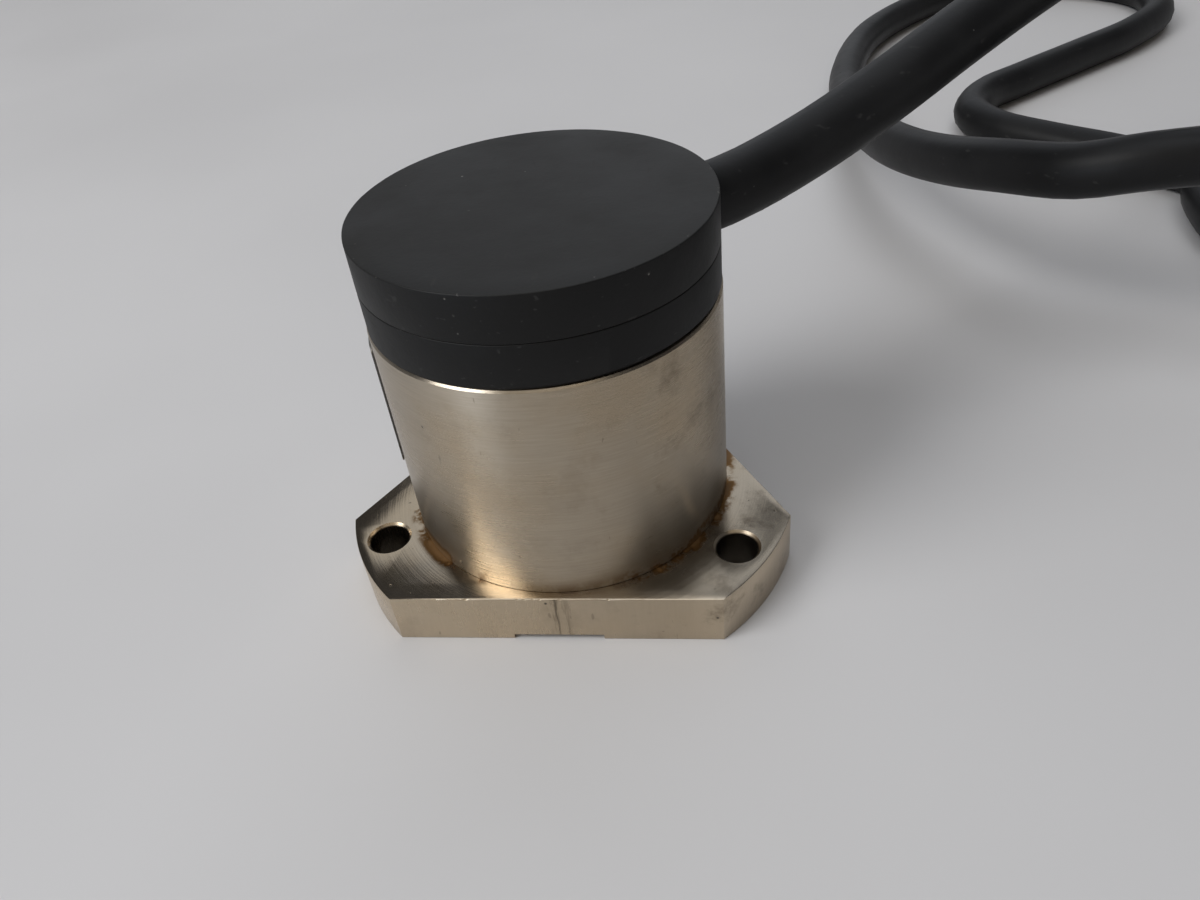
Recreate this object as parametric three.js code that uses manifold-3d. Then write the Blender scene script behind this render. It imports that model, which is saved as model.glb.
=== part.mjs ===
// Blind hollow-shaft rotary encoder: round steel body on a three-lobed flange,
// two-layer black cap, and a 2 m moulded-in cable that ends in a round connector.
// Millimetres, +Z up. The group's origin is the centre of the flange outline's
// bounding rectangle, on the underside; the shaft axis stands at x = 0, y = AXIS_Y.
import * as THREE from 'three';
import { mergeVertices } from 'three/addons/utils/BufferGeometryUtils.js';
import Module from 'manifold-3d';

const wasm = await Module();
wasm.setup();

// ---- driving dimensions ----
const FLANGE_RADIUS = 25;
const FLANGE_THICKNESS = 6;
const FRONT_FLAT = 18.4;
const REAR_FLATS = 17.7;
const HOLE_CIRCLE_RADIUS = 21.5;
const HOLE_RADIUS = 2.15;
const HOLE_CHAMFER = 0.3;
const HOLE_ANGLES = [90, 206, 329];
const GROOVE_WIDTH = 9.4;
const GROOVE_DEPTH = 0.65;
const BODY_RADIUS = 17.5;
const BODY_TOP = 30.8;
const BODY_CHAMFER = 0.4;
const SLEEVE_BORE = 16;
const CAP_RADIUS = 17.4;
const CAP_SEAM = 35.4;
const CAP_TOP = 40;
const SHAFT_RADIUS = 6;
const SHAFT_BORE = 4;
const BORE_FLOOR = 17;
const BALL_CIRCLE = 8.25;
const BALL_RADIUS = 1.15;
const BALLS_PER_BEARING = 7;
const BEARING_WIDTH = 5;
const FRONT_BEARING = 7.2;
const REAR_BEARING = 17.2;
const BOARD_BOTTOM = 27;
const BOARD_THICKNESS = 1.6;
const CABLE_RADIUS = 3.5;
const CABLE_HEIGHT = 35;
const CABLE_AZIMUTH = 30;
const COIL_CENTRE = [140, 58];
const COIL_RADII = [31.5, 38.5];
const COIL_LAYERS = 3;
const COIL_LIFT = 1.2;
const TIE_ANGLES = [25, 130];
const PLUG_REAR = [132.5, 32, 29.6];
const PLUG_HEADING = 25;
const GAP = 0.3;
const FINE_GAP = 0.05;
const ROUND = 44;
const FINE = 26;
const SMALL = 14;

const AXIS_Y = -(FLANGE_RADIUS - FRONT_FLAT) / 2;

// The cable's route outside the coil, relative to the shaft axis.
const LEAD_ROUTE = [
  [11, 6.35, 35], [15.5, 9, 35], [20, 12.8, 35.1], [28, 19.2, 36.7], [36, 25.9, 39.1],
  [44, 32.7, 41.9], [52.5, 40.2, 44.4], [63, 51, 45.9], [76, 63.5, 45.4], [90, 75, 42.2],
  [104, 83.5, 37], [117, 88.2, 31.5], [128, 89.6, 27.5], [136, 89.6, 26.1],
];
const TAIL_ROUTE = [
  [97, 76.5, 3.5], [87.5, 87, 3.5], [78, 95, 3.5], [70.5, 102.5, 3.5], [67.5, 111.5, 3.5],
  [71.5, 121, 3.5], [81, 129.5, 3.5], [96, 142, 3.5], [111, 155, 3.5], [122, 170, 3.5],
  [123.5, 187, 3.5], [113, 200, 3.5], [96, 204, 3.5], [79.5, 198, 3.5], [65.5, 184.5, 3.5],
  [54.5, 167.5, 3.55], [48.5, 150, 3.8], [44.5, 127, 5.3], [43, 98, 10], [45, 72, 14.5],
  [49.5, 56, 18], [55, 45.5, 21], [62, 38, 23], [69, 35, 25], [77, 33.5, 26],
  [91, 31, 26.4], [104, 27.5, 26.3], [115, 26, 27.5], [124.3, 28.2, 29.4], [132.2, 31.86, 29.6],
];

// ---- materials ----
function material(name, color, roughness, metalness) {
  return new THREE.MeshStandardMaterial({ name, color, roughness, metalness });
}
const nickel = material('nickel_steel', 0xb3aa98, 0.32, 1);
const blackPlastic = material('black_cap', 0x26272a, 0.55, 0);
const cableJacket = material('cable_jacket', 0x1b1b1d, 0.5, 0);
const rubber = material('rubber', 0x161616, 0.8, 0);
const foil = material('label_foil', 0xc9cbcc, 0.4, 0.6);
const bearingSteel = material('bearing_steel', 0xc4c6c8, 0.22, 1);
const shaftSteel = material('shaft_steel', 0xb9bbbd, 0.28, 1);
const brass = material('cage_brass', 0xb8944a, 0.35, 1);
const springSteel = material('spring_steel', 0x6d7074, 0.35, 1);
const glass = material('disc_glass', 0xbfd2d0, 0.08, 0);
const carrierPlastic = material('carrier_plastic', 0x35383c, 0.6, 0);
const board = material('circuit_board', 0x1f5b38, 0.45, 0);
const chip = material('chip_epoxy', 0x1c1c1e, 0.5, 0);
const lens = material('led_lens', 0xd9dde0, 0.15, 0);
const connectorPlastic = material('connector_plastic', 0xd8d4c6, 0.5, 0);
const braid = material('shield_foil', 0xb9b2a0, 0.4, 0.8);
const platedBrass = material('plug_shell', 0xa9abae, 0.35, 1);
const tieNylon = material('tie_nylon', 0x202022, 0.6, 0);
const coreColours = [0xb13a2c, 0x2c56a8, 0xe2dfd6, 0x3d8f4a].map((c, i) =>
  material(`core_${i + 1}`, c, 0.45, 0));

// ---- shape helpers ----
const radians = THREE.MathUtils.degToRad;

// Position-only copy of a geometry with shared vertices, wound to face outwards.
function welded(geometry) {
  const bare = geometry.clone();
  bare.deleteAttribute('normal');
  bare.deleteAttribute('uv');
  const joined = mergeVertices(bare, 1e-5);
  const position = joined.attributes.position;
  const index = Array.from(joined.index.array);
  const corner = [new THREE.Vector3(), new THREE.Vector3(), new THREE.Vector3()];
  const kept = [];
  let volume = 0;
  for (let i = 0; i < index.length; i += 3) {
    const [a, b, c] = index.slice(i, i + 3);
    if (a === b || b === c || c === a) continue;
    [a, b, c].forEach((v, k) => corner[k].fromBufferAttribute(position, v));
    volume += corner[0].dot(corner[1].cross(corner[2]));
    kept.push(a, b, c);
  }
  if (volume < 0) kept.reverse();
  joined.setIndex(kept);
  return joined;
}

function toManifold(geometry) {
  const mesh = welded(geometry);
  return new wasm.Manifold(new wasm.Mesh({
    numProp: 3,
    vertProperties: new Float32Array(mesh.attributes.position.array),
    triVerts: new Uint32Array(mesh.index.array),
  }));
}

function fromManifold(manifold) {
  const mesh = manifold.getMesh();
  const geometry = new THREE.BufferGeometry();
  geometry.setAttribute('position', new THREE.BufferAttribute(mesh.vertProperties, 3));
  geometry.setIndex(new THREE.BufferAttribute(mesh.triVerts, 1));
  return geometry;
}

function cut(base, ...tools) {
  return fromManifold(tools.reduce((s, t) => s.subtract(toManifold(t)), toManifold(base)));
}

function join(base, ...others) {
  return fromManifold(others.reduce((s, o) => s.add(toManifold(o)), toManifold(base)));
}

// A solid of revolution about +Z; profile points are [radius, height].
function turned(profile, segments = FINE) {
  const points = profile.map(([r, z]) => new THREE.Vector2(r, z));
  const first = points[0];
  const last = points[points.length - 1];
  const open = first.x > 0 || last.x > 0;
  if (open && !first.equals(last)) points.push(first.clone());
  return new THREE.LatheGeometry(points, segments).rotateX(Math.PI / 2);
}

function ring(inner, outer, bottom, top, segments = FINE) {
  return turned([[outer, bottom], [outer, top], [inner, top], [inner, bottom]], segments);
}

function disc(radius, bottom, top, segments = FINE) {
  return new THREE.CylinderGeometry(radius, radius, top - bottom, segments)
    .rotateX(Math.PI / 2).translate(0, 0, (bottom + top) / 2);
}

function block(sizeX, sizeY, bottom, top, x = 0, y = 0) {
  return new THREE.BoxGeometry(sizeX, sizeY, top - bottom).translate(x, y, (bottom + top) / 2);
}

// A round bar from one point to another.
function bar(from, to, radius, segments = SMALL) {
  const a = new THREE.Vector3(...from);
  const b = new THREE.Vector3(...to);
  const along = b.clone().sub(a);
  const turn = new THREE.Quaternion().setFromUnitVectors(
    new THREE.Vector3(0, 1, 0), along.clone().normalize());
  const middle = a.add(b).multiplyScalar(0.5);
  return new THREE.CylinderGeometry(radius, radius, along.length(), segments)
    .applyQuaternion(turn).translate(middle.x, middle.y, middle.z);
}

// A round tube of the given radius that follows a smooth curve through the points.
function tube(points, radius, steps, sides) {
  const curve = new THREE.CatmullRomCurve3(
    points.map((p) => new THREE.Vector3(...p)), false, 'centripetal');
  const section = new THREE.Shape();
  for (let i = 0; i < sides; i += 1) {
    const angle = (i / sides) * 2 * Math.PI;
    const corner = [radius * Math.cos(angle), radius * Math.sin(angle)];
    if (i === 0) section.moveTo(...corner);
    else section.lineTo(...corner);
  }
  section.closePath();
  return welded(new THREE.ExtrudeGeometry(section, {
    steps, extrudePath: curve, bevelEnabled: false,
  }));
}

// A point at an azimuth and radius from the shaft axis.
function around(azimuth, radius, height) {
  const angle = radians(azimuth);
  return [radius * Math.cos(angle), radius * Math.sin(angle), height];
}

function arc(centreR, centreZ, radius, fromDegrees, toDegrees, count) {
  return Array.from({ length: count + 1 }, (_, i) => {
    const angle = radians(fromDegrees + ((toDegrees - fromDegrees) * i) / count);
    return [centreR + radius * Math.cos(angle), centreZ + radius * Math.sin(angle)];
  });
}

// ---- the assembly ----
const encoder = new THREE.Group();
encoder.name = 'rotary_encoder';
const onAxis = new THREE.Group();
onAxis.position.set(0, AXIS_Y, 0);
encoder.add(onAxis);

function add(name, geometry, finish, parent = onAxis) {
  const mesh = new THREE.Mesh(geometry, finish);
  mesh.name = name;
  parent.add(mesh);
  return mesh;
}

// ---- housing ----
const SPIGOT_RADIUS = 13;
const SPIGOT_TOP = 22;
const REGISTER_TOP = 9;
const SEAT_RADIUS = 10.6;
const SEAT_BOTTOM = 4.4;
const SEAL_POCKET = 9.2;
const SEAL_SHOULDER = 3.2;
const REGISTER_RADIUS = 15.8;
const O_RING_SEAT = 15.05;
const CLIP_BOTTOM = 20.95;
const CLIP_THICKNESS = 0.7;
const CLIP_GROOVE_RADIUS = 11.3;
const LABEL_ANGLES = [112, 204];
const LABEL_BOTTOM = 14.5;
const LABEL_HEIGHT = 14.5;
const LABEL_THICKNESS = 0.15;

// Flange outline: a circle cut by three flats whose normals point at -90, 30 and 150 degrees.
function flangeOutline() {
  const flats = [[-90, FRONT_FLAT], [30, REAR_FLATS], [150, REAR_FLATS]];
  const shape = new THREE.Shape();
  const ends = flats.map(([angle, distance]) => {
    const half = (Math.acos(distance / FLANGE_RADIUS) * 180) / Math.PI;
    return [radians(angle - half), radians(angle + half)];
  });
  shape.moveTo(FLANGE_RADIUS * Math.cos(ends[0][1]), FLANGE_RADIUS * Math.sin(ends[0][1]));
  shape.absarc(0, 0, FLANGE_RADIUS, ends[0][1], ends[1][0], false);
  shape.absarc(0, 0, FLANGE_RADIUS, ends[1][1], ends[2][0], false);
  shape.absarc(0, 0, FLANGE_RADIUS, ends[2][1], ends[0][0] + 2 * Math.PI, false);
  return shape;
}

function mountingFlange() {
  const plate = new THREE.ExtrudeGeometry(flangeOutline(), {
    depth: FLANGE_THICKNESS, bevelEnabled: false, curveSegments: 6,
  });
  const clipLow = CLIP_BOTTOM - 0.2;
  const clipHigh = CLIP_BOTTOM + CLIP_THICKNESS + 0.2;
  const register = turned([
    [0, 2], [REGISTER_RADIUS, 2], [REGISTER_RADIUS, 6.8], [O_RING_SEAT, 6.8], [O_RING_SEAT, 7.9],
    [REGISTER_RADIUS, 7.9], [REGISTER_RADIUS, REGISTER_TOP], [SPIGOT_RADIUS, REGISTER_TOP],
    [SPIGOT_RADIUS, SPIGOT_TOP], [0, SPIGOT_TOP],
  ], ROUND);
  const bore = turned([
    [0, -1], [SEAL_POCKET + 0.4, -1], [SEAL_POCKET + 0.4, 0], [SEAL_POCKET, 0.4],
    [SEAL_POCKET, SEAL_SHOULDER], [7, SEAL_SHOULDER], [7, SEAT_BOTTOM],
    [SEAT_RADIUS, SEAT_BOTTOM], [SEAT_RADIUS, clipLow], [CLIP_GROOVE_RADIUS, clipLow],
    [CLIP_GROOVE_RADIUS, clipHigh], [SEAT_RADIUS, clipHigh], [SEAT_RADIUS, SPIGOT_TOP + 1],
    [0, SPIGOT_TOP + 1],
  ], FINE);
  const groove = block(GROOVE_WIDTH, 3 * FLANGE_RADIUS, -1, GROOVE_DEPTH);
  const wide = HOLE_RADIUS + HOLE_CHAMFER;
  const screwHole = turned([
    [0, -1], [wide + 1, -1], [wide + 1, 0], [wide, 0], [HOLE_RADIUS, HOLE_CHAMFER],
    [HOLE_RADIUS, FLANGE_THICKNESS - HOLE_CHAMFER], [wide, FLANGE_THICKNESS],
    [wide, FLANGE_THICKNESS + 1], [0, FLANGE_THICKNESS + 1],
  ], SMALL);
  const holes = HOLE_ANGLES.map((angle) =>
    screwHole.clone().translate(...around(angle, HOLE_CIRCLE_RADIUS, 0)));
  return cut(join(plate, register), bore, groove, ...holes);
}

function bodySleeve() {
  const bottom = FLANGE_THICKNESS + FINE_GAP;
  return turned([
    [BODY_RADIUS, bottom], [BODY_RADIUS, BODY_TOP - BODY_CHAMFER],
    [BODY_RADIUS - BODY_CHAMFER, BODY_TOP], [SLEEVE_BORE, BODY_TOP], [SLEEVE_BORE, bottom],
  ], ROUND);
}

// Blank rating plate, wrapped round the side of the sleeve.
function nameLabel() {
  const inner = BODY_RADIUS + FINE_GAP;
  const outer = inner + LABEL_THICKNESS;
  const [start, end] = LABEL_ANGLES.map(radians);
  const shape = new THREE.Shape();
  shape.absarc(0, 0, outer, start, end, false);
  shape.absarc(0, 0, inner, end, start, true);
  shape.closePath();
  return new THREE.ExtrudeGeometry(shape, {
    depth: LABEL_HEIGHT, bevelEnabled: false, curveSegments: 8,
  }).translate(0, 0, LABEL_BOTTOM);
}

add('mounting_flange', mountingFlange(), nickel);
add('body_sleeve', bodySleeve(), nickel);
add('sleeve_o_ring', turned(arc(15.46, 7.35, 0.26, 0, 300, 5), FINE), rubber);
add('name_label', nameLabel(), foil);
add('shaft_seal', turned([
  [SEAL_POCKET - 0.2, 0.6], [SEAL_POCKET - 0.2, 2.9], [7.2, 2.9], [SHAFT_RADIUS + GAP, 2.2],
  [SHAFT_RADIUS + GAP, 1.8], [6.9, 0.6],
]), rubber);

// ---- cap: two moulded layers that grip the cable between them ----
const CAP_FLOOR_BOTTOM = 29.9;
const CAP_FLOOR_TOP = 31.4;
const CAP_WALL = 15.2;
const LIP_RADIUS = 14.9;
const LIP_TOP = 36.6;

function cableChannel() {
  return bar(around(CABLE_AZIMUTH, 8, CABLE_HEIGHT), around(CABLE_AZIMUTH, 22, CABLE_HEIGHT),
    CABLE_RADIUS + 0.2, 24);
}

function capLowerRing() {
  const body = turned([
    [8, CAP_FLOOR_BOTTOM], [SLEEVE_BORE - 0.2, CAP_FLOOR_BOTTOM],
    [SLEEVE_BORE - 0.2, BODY_TOP + FINE_GAP], [CAP_RADIUS, BODY_TOP + FINE_GAP],
    [CAP_RADIUS, CAP_SEAM - FINE_GAP], [LIP_RADIUS, CAP_SEAM - FINE_GAP], [LIP_RADIUS, LIP_TOP],
    [LIP_RADIUS - 0.9, LIP_TOP], [LIP_RADIUS - 0.9, CAP_FLOOR_TOP], [8, CAP_FLOOR_TOP],
  ], ROUND);
  return cut(body, cableChannel());
}

function capUpperDisc() {
  const body = turned([
    [0, 39], [CAP_WALL, 39], [CAP_WALL, CAP_SEAM], [CAP_RADIUS, CAP_SEAM],
    [CAP_RADIUS, CAP_TOP - 0.15], [CAP_RADIUS - 0.15, CAP_TOP], [0, CAP_TOP],
  ], ROUND);
  return cut(body, cableChannel());
}

add('cap_lower_ring', capLowerRing(), blackPlastic);
add('cap_upper_disc', capUpperDisc(), blackPlastic);

// ---- rotor ----
const HUB_RADIUS = 7.4;
const HUB_TOP = 24.2;
const PILOT_RADIUS = 5;
const ROTOR_TOP = 26;
const HEAD_SEAT = 20.4;
const HEAD_POCKET = 3.3;
const HEAD_RADIUS = 2.75;
const HEAD_TOP = 23.5;
const SCREW_RADIUS = 1.5;
const SCREW_HOLE = 1.8;
const SCREW_TIP = 9;
const HEX_SOCKET = 1.45;
const SHAFT_END = 0.5;

add('hollow_shaft', turned([
  [SHAFT_BORE + 0.4, SHAFT_END], [SHAFT_RADIUS - 0.4, SHAFT_END], [SHAFT_RADIUS, SHAFT_END + 0.4], [SHAFT_RADIUS, 20],
  [HUB_RADIUS, 20], [HUB_RADIUS, HUB_TOP], [PILOT_RADIUS, HUB_TOP], [PILOT_RADIUS, ROTOR_TOP],
  [HEAD_POCKET, ROTOR_TOP], [HEAD_POCKET, HEAD_SEAT], [SCREW_HOLE, HEAD_SEAT], [SCREW_HOLE, BORE_FLOOR],
  [SHAFT_BORE, BORE_FLOOR], [SHAFT_BORE, SHAFT_END + 0.4],
]), shaftSteel);
add('shaft_screw', cut(
  turned([
    [0, SCREW_TIP], [SCREW_RADIUS, SCREW_TIP], [SCREW_RADIUS, HEAD_SEAT + 0.1],
    [HEAD_RADIUS, HEAD_SEAT + 0.1], [HEAD_RADIUS, HEAD_TOP], [0, HEAD_TOP],
  ], SMALL),
  disc(HEX_SOCKET, HEAD_TOP - 1.6, HEAD_TOP + 0.5, 6),
), springSteel);

// ---- two deep-groove bearings ----
const RING_GAP = 0.15;
const GROOVE_BALL = BALL_RADIUS + 0.12;
const GROOVE_HALF_ANGLE = 48;

function bearing(prefix, middle) {
  const low = middle - BEARING_WIDTH / 2;
  const high = middle + BEARING_WIDTH / 2;
  const shoulder = GROOVE_BALL * Math.cos(radians(GROOVE_HALF_ANGLE));
  add(`${prefix}_bearing_outer_ring`, turned([
    [SEAT_RADIUS - RING_GAP, low], [SEAT_RADIUS - RING_GAP, high], [BALL_CIRCLE + shoulder, high],
    ...arc(BALL_CIRCLE, middle, GROOVE_BALL, GROOVE_HALF_ANGLE, -GROOVE_HALF_ANGLE, 4),
    [BALL_CIRCLE + shoulder, low],
  ]), bearingSteel);
  add(`${prefix}_bearing_inner_ring`, turned([
    [BALL_CIRCLE - shoulder, low],
    ...arc(BALL_CIRCLE, middle, GROOVE_BALL, 180 + GROOVE_HALF_ANGLE, 180 - GROOVE_HALF_ANGLE, 4),
    [BALL_CIRCLE - shoulder, high], [SHAFT_RADIUS + RING_GAP, high], [SHAFT_RADIUS + RING_GAP, low],
  ]), bearingSteel);
  const angles = Array.from({ length: BALLS_PER_BEARING }, (_, i) =>
    (360 * i) / BALLS_PER_BEARING);
  const pockets = angles.map((angle) =>
    bar(around(angle, 6.5, middle), around(angle, 10, middle), BALL_RADIUS + 0.2, 8));
  add(`${prefix}_bearing_cage`, cut(
    ring(BALL_CIRCLE - 0.35, BALL_CIRCLE + 0.35, middle - 1.8, middle + 1.8, 21), ...pockets,
  ), brass);
  angles.forEach((angle, i) => {
    add(`${prefix}_ball_${i + 1}`, new THREE.SphereGeometry(BALL_RADIUS, 8, 6)
      .translate(...around(angle, BALL_CIRCLE, middle)), bearingSteel);
  });
}

bearing('front', FRONT_BEARING);
bearing('rear', REAR_BEARING);
add('bearing_spacer', ring(9.5, SEAT_RADIUS - RING_GAP, 9.9, 14.5), shaftSteel);

// Wavy preload washer under the retaining ring.
function preloadWasher() {
  const washer = ring(8.9, 10.3, 20.05, 20.3);
  const position = washer.attributes.position;
  for (let i = 0; i < position.count; i += 1) {
    const turn = Math.atan2(position.getY(i), position.getX(i));
    position.setZ(i, position.getZ(i) + 0.13 * (1 + Math.sin(3 * turn)));
  }
  return washer;
}

// Internal circlip: an open ring with two eyes.
function retainingRing() {
  const opening = 14;
  const shape = new THREE.Shape();
  shape.absarc(0, 0, 11.1, radians(opening), radians(360 - opening), false);
  shape.absarc(0, 0, 9.5, radians(360 - opening), radians(opening), true);
  shape.closePath();
  const clip = new THREE.ExtrudeGeometry(shape, {
    depth: CLIP_THICKNESS, bevelEnabled: false, curveSegments: 14,
  }).translate(0, 0, CLIP_BOTTOM);
  const clipTop = CLIP_BOTTOM + CLIP_THICKNESS;
  const eyes = [opening + 5, -opening - 5].map((angle) =>
    bar(around(angle, 9.4, CLIP_BOTTOM), around(angle, 9.4, clipTop), 1.1, 12));
  const holes = [opening + 5, -opening - 5].map((angle) =>
    bar(around(angle, 9.2, CLIP_BOTTOM - 1), around(angle, 9.2, clipTop + 1), 0.45, 10));
  return cut(join(clip, ...eyes), ...holes);
}

add('preload_washer', preloadWasher(), springSteel);
add('retaining_ring', retainingRing(), springSteel);

// ---- scanning: disc on the rotor, light below it, sensor above it ----
const SCAN_AZIMUTH = -90;
const SCAN_RADIUS = 10.4;
const POST_ANGLES = [30, 150, 270];
const POST_RADIUS = 14;

add('code_disc', ring(5.2, 12, 24.35, 25.05, 32), glass);
add('disc_clamp_ring', ring(5.2, 8, 25.3, 25.9), shaftSteel);

function opticsCarrier() {
  const base = ring(8.2, 15.4, SPIGOT_TOP + 0.2, 23.7);
  const posts = POST_ANGLES.map((angle) =>
    bar(around(angle, POST_RADIUS, 23), around(angle, POST_RADIUS, BOARD_BOTTOM - FINE_GAP),
      1.35, 12));
  const threads = POST_ANGLES.map((angle) =>
    bar(around(angle, POST_RADIUS, 24.4), around(angle, POST_RADIUS, 28), 0.85, 10));
  const ledHole = bar(around(SCAN_AZIMUTH, SCAN_RADIUS, 22), around(SCAN_AZIMUTH, SCAN_RADIUS, 25),
    1.8, 16);
  return cut(join(base, ...posts), ...threads, ledHole);
}

add('optics_carrier', opticsCarrier(), carrierPlastic);
add('led_emitter', turned([
  [0, 22.3], [1.5, 22.3], [1.5, 22.95], ...arc(0, 22.95, 1.2, 30, 90, 4),
], 16).translate(...around(SCAN_AZIMUTH, SCAN_RADIUS, 0)), lens);
add('reticle_plate', block(6, 3.4, 25.25, 25.7, 0, -SCAN_RADIUS - 0.3), glass);
add('photo_sensor', block(6.4, 4.2, 26, 26.9, 0, -SCAN_RADIUS - 0.2), chip);

function mainBoard() {
  const plate = disc(15.3, BOARD_BOTTOM, BOARD_BOTTOM + BOARD_THICKNESS, 32);
  const centre = disc(3, BOARD_BOTTOM - 1, BOARD_BOTTOM + 3, SMALL);
  const holes = POST_ANGLES.map((angle) =>
    bar(around(angle, POST_RADIUS, BOARD_BOTTOM - 1), around(angle, POST_RADIUS,
      BOARD_BOTTOM + 3), 0.9, 10));
  return cut(plate, centre, ...holes);
}

const BOARD_TOP = BOARD_BOTTOM + BOARD_THICKNESS;
add('main_board', mainBoard(), board);
POST_ANGLES.forEach((angle, i) => {
  add(`board_screw_${i + 1}`, turned([
    [0, 25], [0.65, 25], [0.65, BOARD_TOP + 0.1], [1.25, BOARD_TOP + 0.1],
    [1.15, BOARD_TOP + 0.7], [0, BOARD_TOP + 0.9],
  ], 12).translate(...around(angle, POST_RADIUS, 0)), bearingSteel);
});
add('wire_header', block(7, 2.8, BOARD_TOP + 0.1, 31.7, 0, 4.9), connectorPlastic);
add('line_driver_chip', block(6, 5, BOARD_TOP + 0.1, 29.6, -8.4, 1.5), chip);

// ---- cable end inside the cap ----
const BUNDLE_RADIUS = 2.2;
const BUNDLE_FROM = 7.4;
const BUNDLE_TO = 12.7;

add('inner_bundle', bar(around(CABLE_AZIMUTH, BUNDLE_FROM, CABLE_HEIGHT),
  around(CABLE_AZIMUTH, BUNDLE_TO - GAP, CABLE_HEIGHT), BUNDLE_RADIUS, 16), braid);
add('shield_clamp', cut(
  block(3, 9, CAP_FLOOR_TOP + 0.1, 38.4, 10.2, 0),
  bar([7, 0, CABLE_HEIGHT], [14, 0, CABLE_HEIGHT], BUNDLE_RADIUS + 0.2, 16),
).rotateZ(radians(CABLE_AZIMUTH)), bearingSteel);

// Four insulated cores fan out of the bundle and drop into the header.
coreColours.forEach((finish, i) => {
  const aside = i % 2 ? 0.45 : -0.45;
  const across = radians(CABLE_AZIMUTH + 90);
  const height = CABLE_HEIGHT + (i - 1.5) * 0.85;
  const shift = ([x, y, z]) => [x + aside * Math.cos(across), y + aside * Math.sin(across), z];
  const end = [2.4 - 1.6 * i, 4.9 + aside, 32];
  add(`core_${i + 1}`, tube([
    shift(around(CABLE_AZIMUTH, BUNDLE_FROM - GAP, height)),
    shift(around(CABLE_AZIMUTH, BUNDLE_FROM - 1.6, height)),
    [end[0] + 0.7, end[1], height - 0.5], [end[0], end[1], 33], end,
  ], 0.42, 10, 8), finish);
});

// ---- cable: lead, coil of the stored length, tail, and round connector ----
add('cable_lead', tube(LEAD_ROUTE, CABLE_RADIUS, 22, 8), cableJacket);
add('cable_tail', tube(TAIL_ROUTE, CABLE_RADIUS, 52, 8), cableJacket);

const coilInner = COIL_RADII[0] - CABLE_RADIUS;
const coilOuter = COIL_RADII[1] + CABLE_RADIUS;
const coilTop = COIL_LIFT + 2 * CABLE_RADIUS * COIL_LAYERS;
const coilGroup = new THREE.Group();
coilGroup.position.set(COIL_CENTRE[0], COIL_CENTRE[1], 0);
onAxis.add(coilGroup);
const COIL_CHAMFER = 1.3;
add('cable_coil', turned([
  [coilOuter - COIL_CHAMFER, COIL_LIFT], [coilOuter, COIL_LIFT + COIL_CHAMFER],
  [coilOuter, coilTop - COIL_CHAMFER], [coilOuter - COIL_CHAMFER, coilTop],
  [coilInner + COIL_CHAMFER, coilTop], [coilInner, coilTop - COIL_CHAMFER],
  [coilInner, COIL_LIFT + COIL_CHAMFER], [coilInner + COIL_CHAMFER, COIL_LIFT],
], 32), cableJacket, coilGroup);

function roundedRectangle(left, right, bottom, top, radius) {
  const outline = new THREE.Shape();
  outline.absarc(right - radius, top - radius, radius, 0, Math.PI / 2, false);
  outline.absarc(left + radius, top - radius, radius, Math.PI / 2, Math.PI, false);
  outline.absarc(left + radius, bottom + radius, radius, Math.PI, 1.5 * Math.PI, false);
  outline.absarc(right - radius, bottom + radius, radius, 1.5 * Math.PI, 2 * Math.PI, false);
  outline.closePath();
  return outline;
}

// A nylon cable tie round the bundle of turns, with its head on the outside.
function coilTie() {
  const strap = 0.8;
  const width = 4;
  const slack = 0.4;
  const outline = roundedRectangle(coilInner - slack - strap, coilOuter + slack + strap,
    0.1, coilTop + slack + strap, 3);
  outline.holes.push(roundedRectangle(coilInner - slack, coilOuter + slack,
    0.1 + strap, coilTop + slack, 2.2));
  const band = new THREE.ExtrudeGeometry(outline, {
    depth: width, bevelEnabled: false, curveSegments: 2,
  }).rotateX(Math.PI / 2).translate(0, width / 2, 0);
  const head = block(3, 5.4, 8, 13.5, coilOuter + slack + strap + 1, 0);
  return join(band, head);
}

TIE_ANGLES.forEach((angle, i) => {
  const tie = add(`coil_tie_${i + 1}`, coilTie(), tieNylon, coilGroup);
  tie.rotation.z = radians(angle);
});

// Round connector, built along +X from the cable's end.
const PLUG_RADIUS = 6.6;
const PLUG_FRONT = 36;
const NUT_FROM = 24.4;
const NUT_TO = 37.4;
const NUT_RADIUS = 7.1;
const SOCKET_RADIUS = 4.4;
const SOCKET_FROM = 28;
const PIN_COUNT = 5;
const plug = new THREE.Group();
plug.position.set(...PLUG_REAR);
plug.rotation.z = radians(PLUG_HEADING);
onAxis.add(plug);

function alongX(geometry) {
  return geometry.rotateY(Math.PI / 2);
}

function couplingNut() {
  const knurls = 24;
  const shape = new THREE.Shape();
  for (let i = 0; i < 2 * knurls; i += 1) {
    const radius = i % 2 ? NUT_RADIUS : NUT_RADIUS - 0.3;
    const angle = (i / (2 * knurls)) * 2 * Math.PI;
    const corner = [radius * Math.cos(angle), radius * Math.sin(angle)];
    if (i === 0) shape.moveTo(...corner);
    else shape.lineTo(...corner);
  }
  shape.closePath();
  const hole = new THREE.Path();
  hole.absarc(0, 0, 5.6, 0, 2 * Math.PI, true);
  shape.holes.push(hole);
  return alongX(new THREE.ExtrudeGeometry(shape, {
    depth: NUT_TO - NUT_FROM, bevelEnabled: false, curveSegments: 12,
  }).translate(0, 0, NUT_FROM));
}

function plugInsert() {
  const base = disc(SOCKET_RADIUS - GAP, SOCKET_FROM + GAP, SOCKET_FROM + 2.3, SMALL);
  const pins = Array.from({ length: PIN_COUNT }, (_, i) => {
    const angle = (360 * i) / PIN_COUNT;
    return bar(around(angle, 2.4, SOCKET_FROM + 1), around(angle, 2.4, PLUG_FRONT - 1), 0.5, 8);
  });
  return alongX(join(base, ...pins));
}

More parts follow.
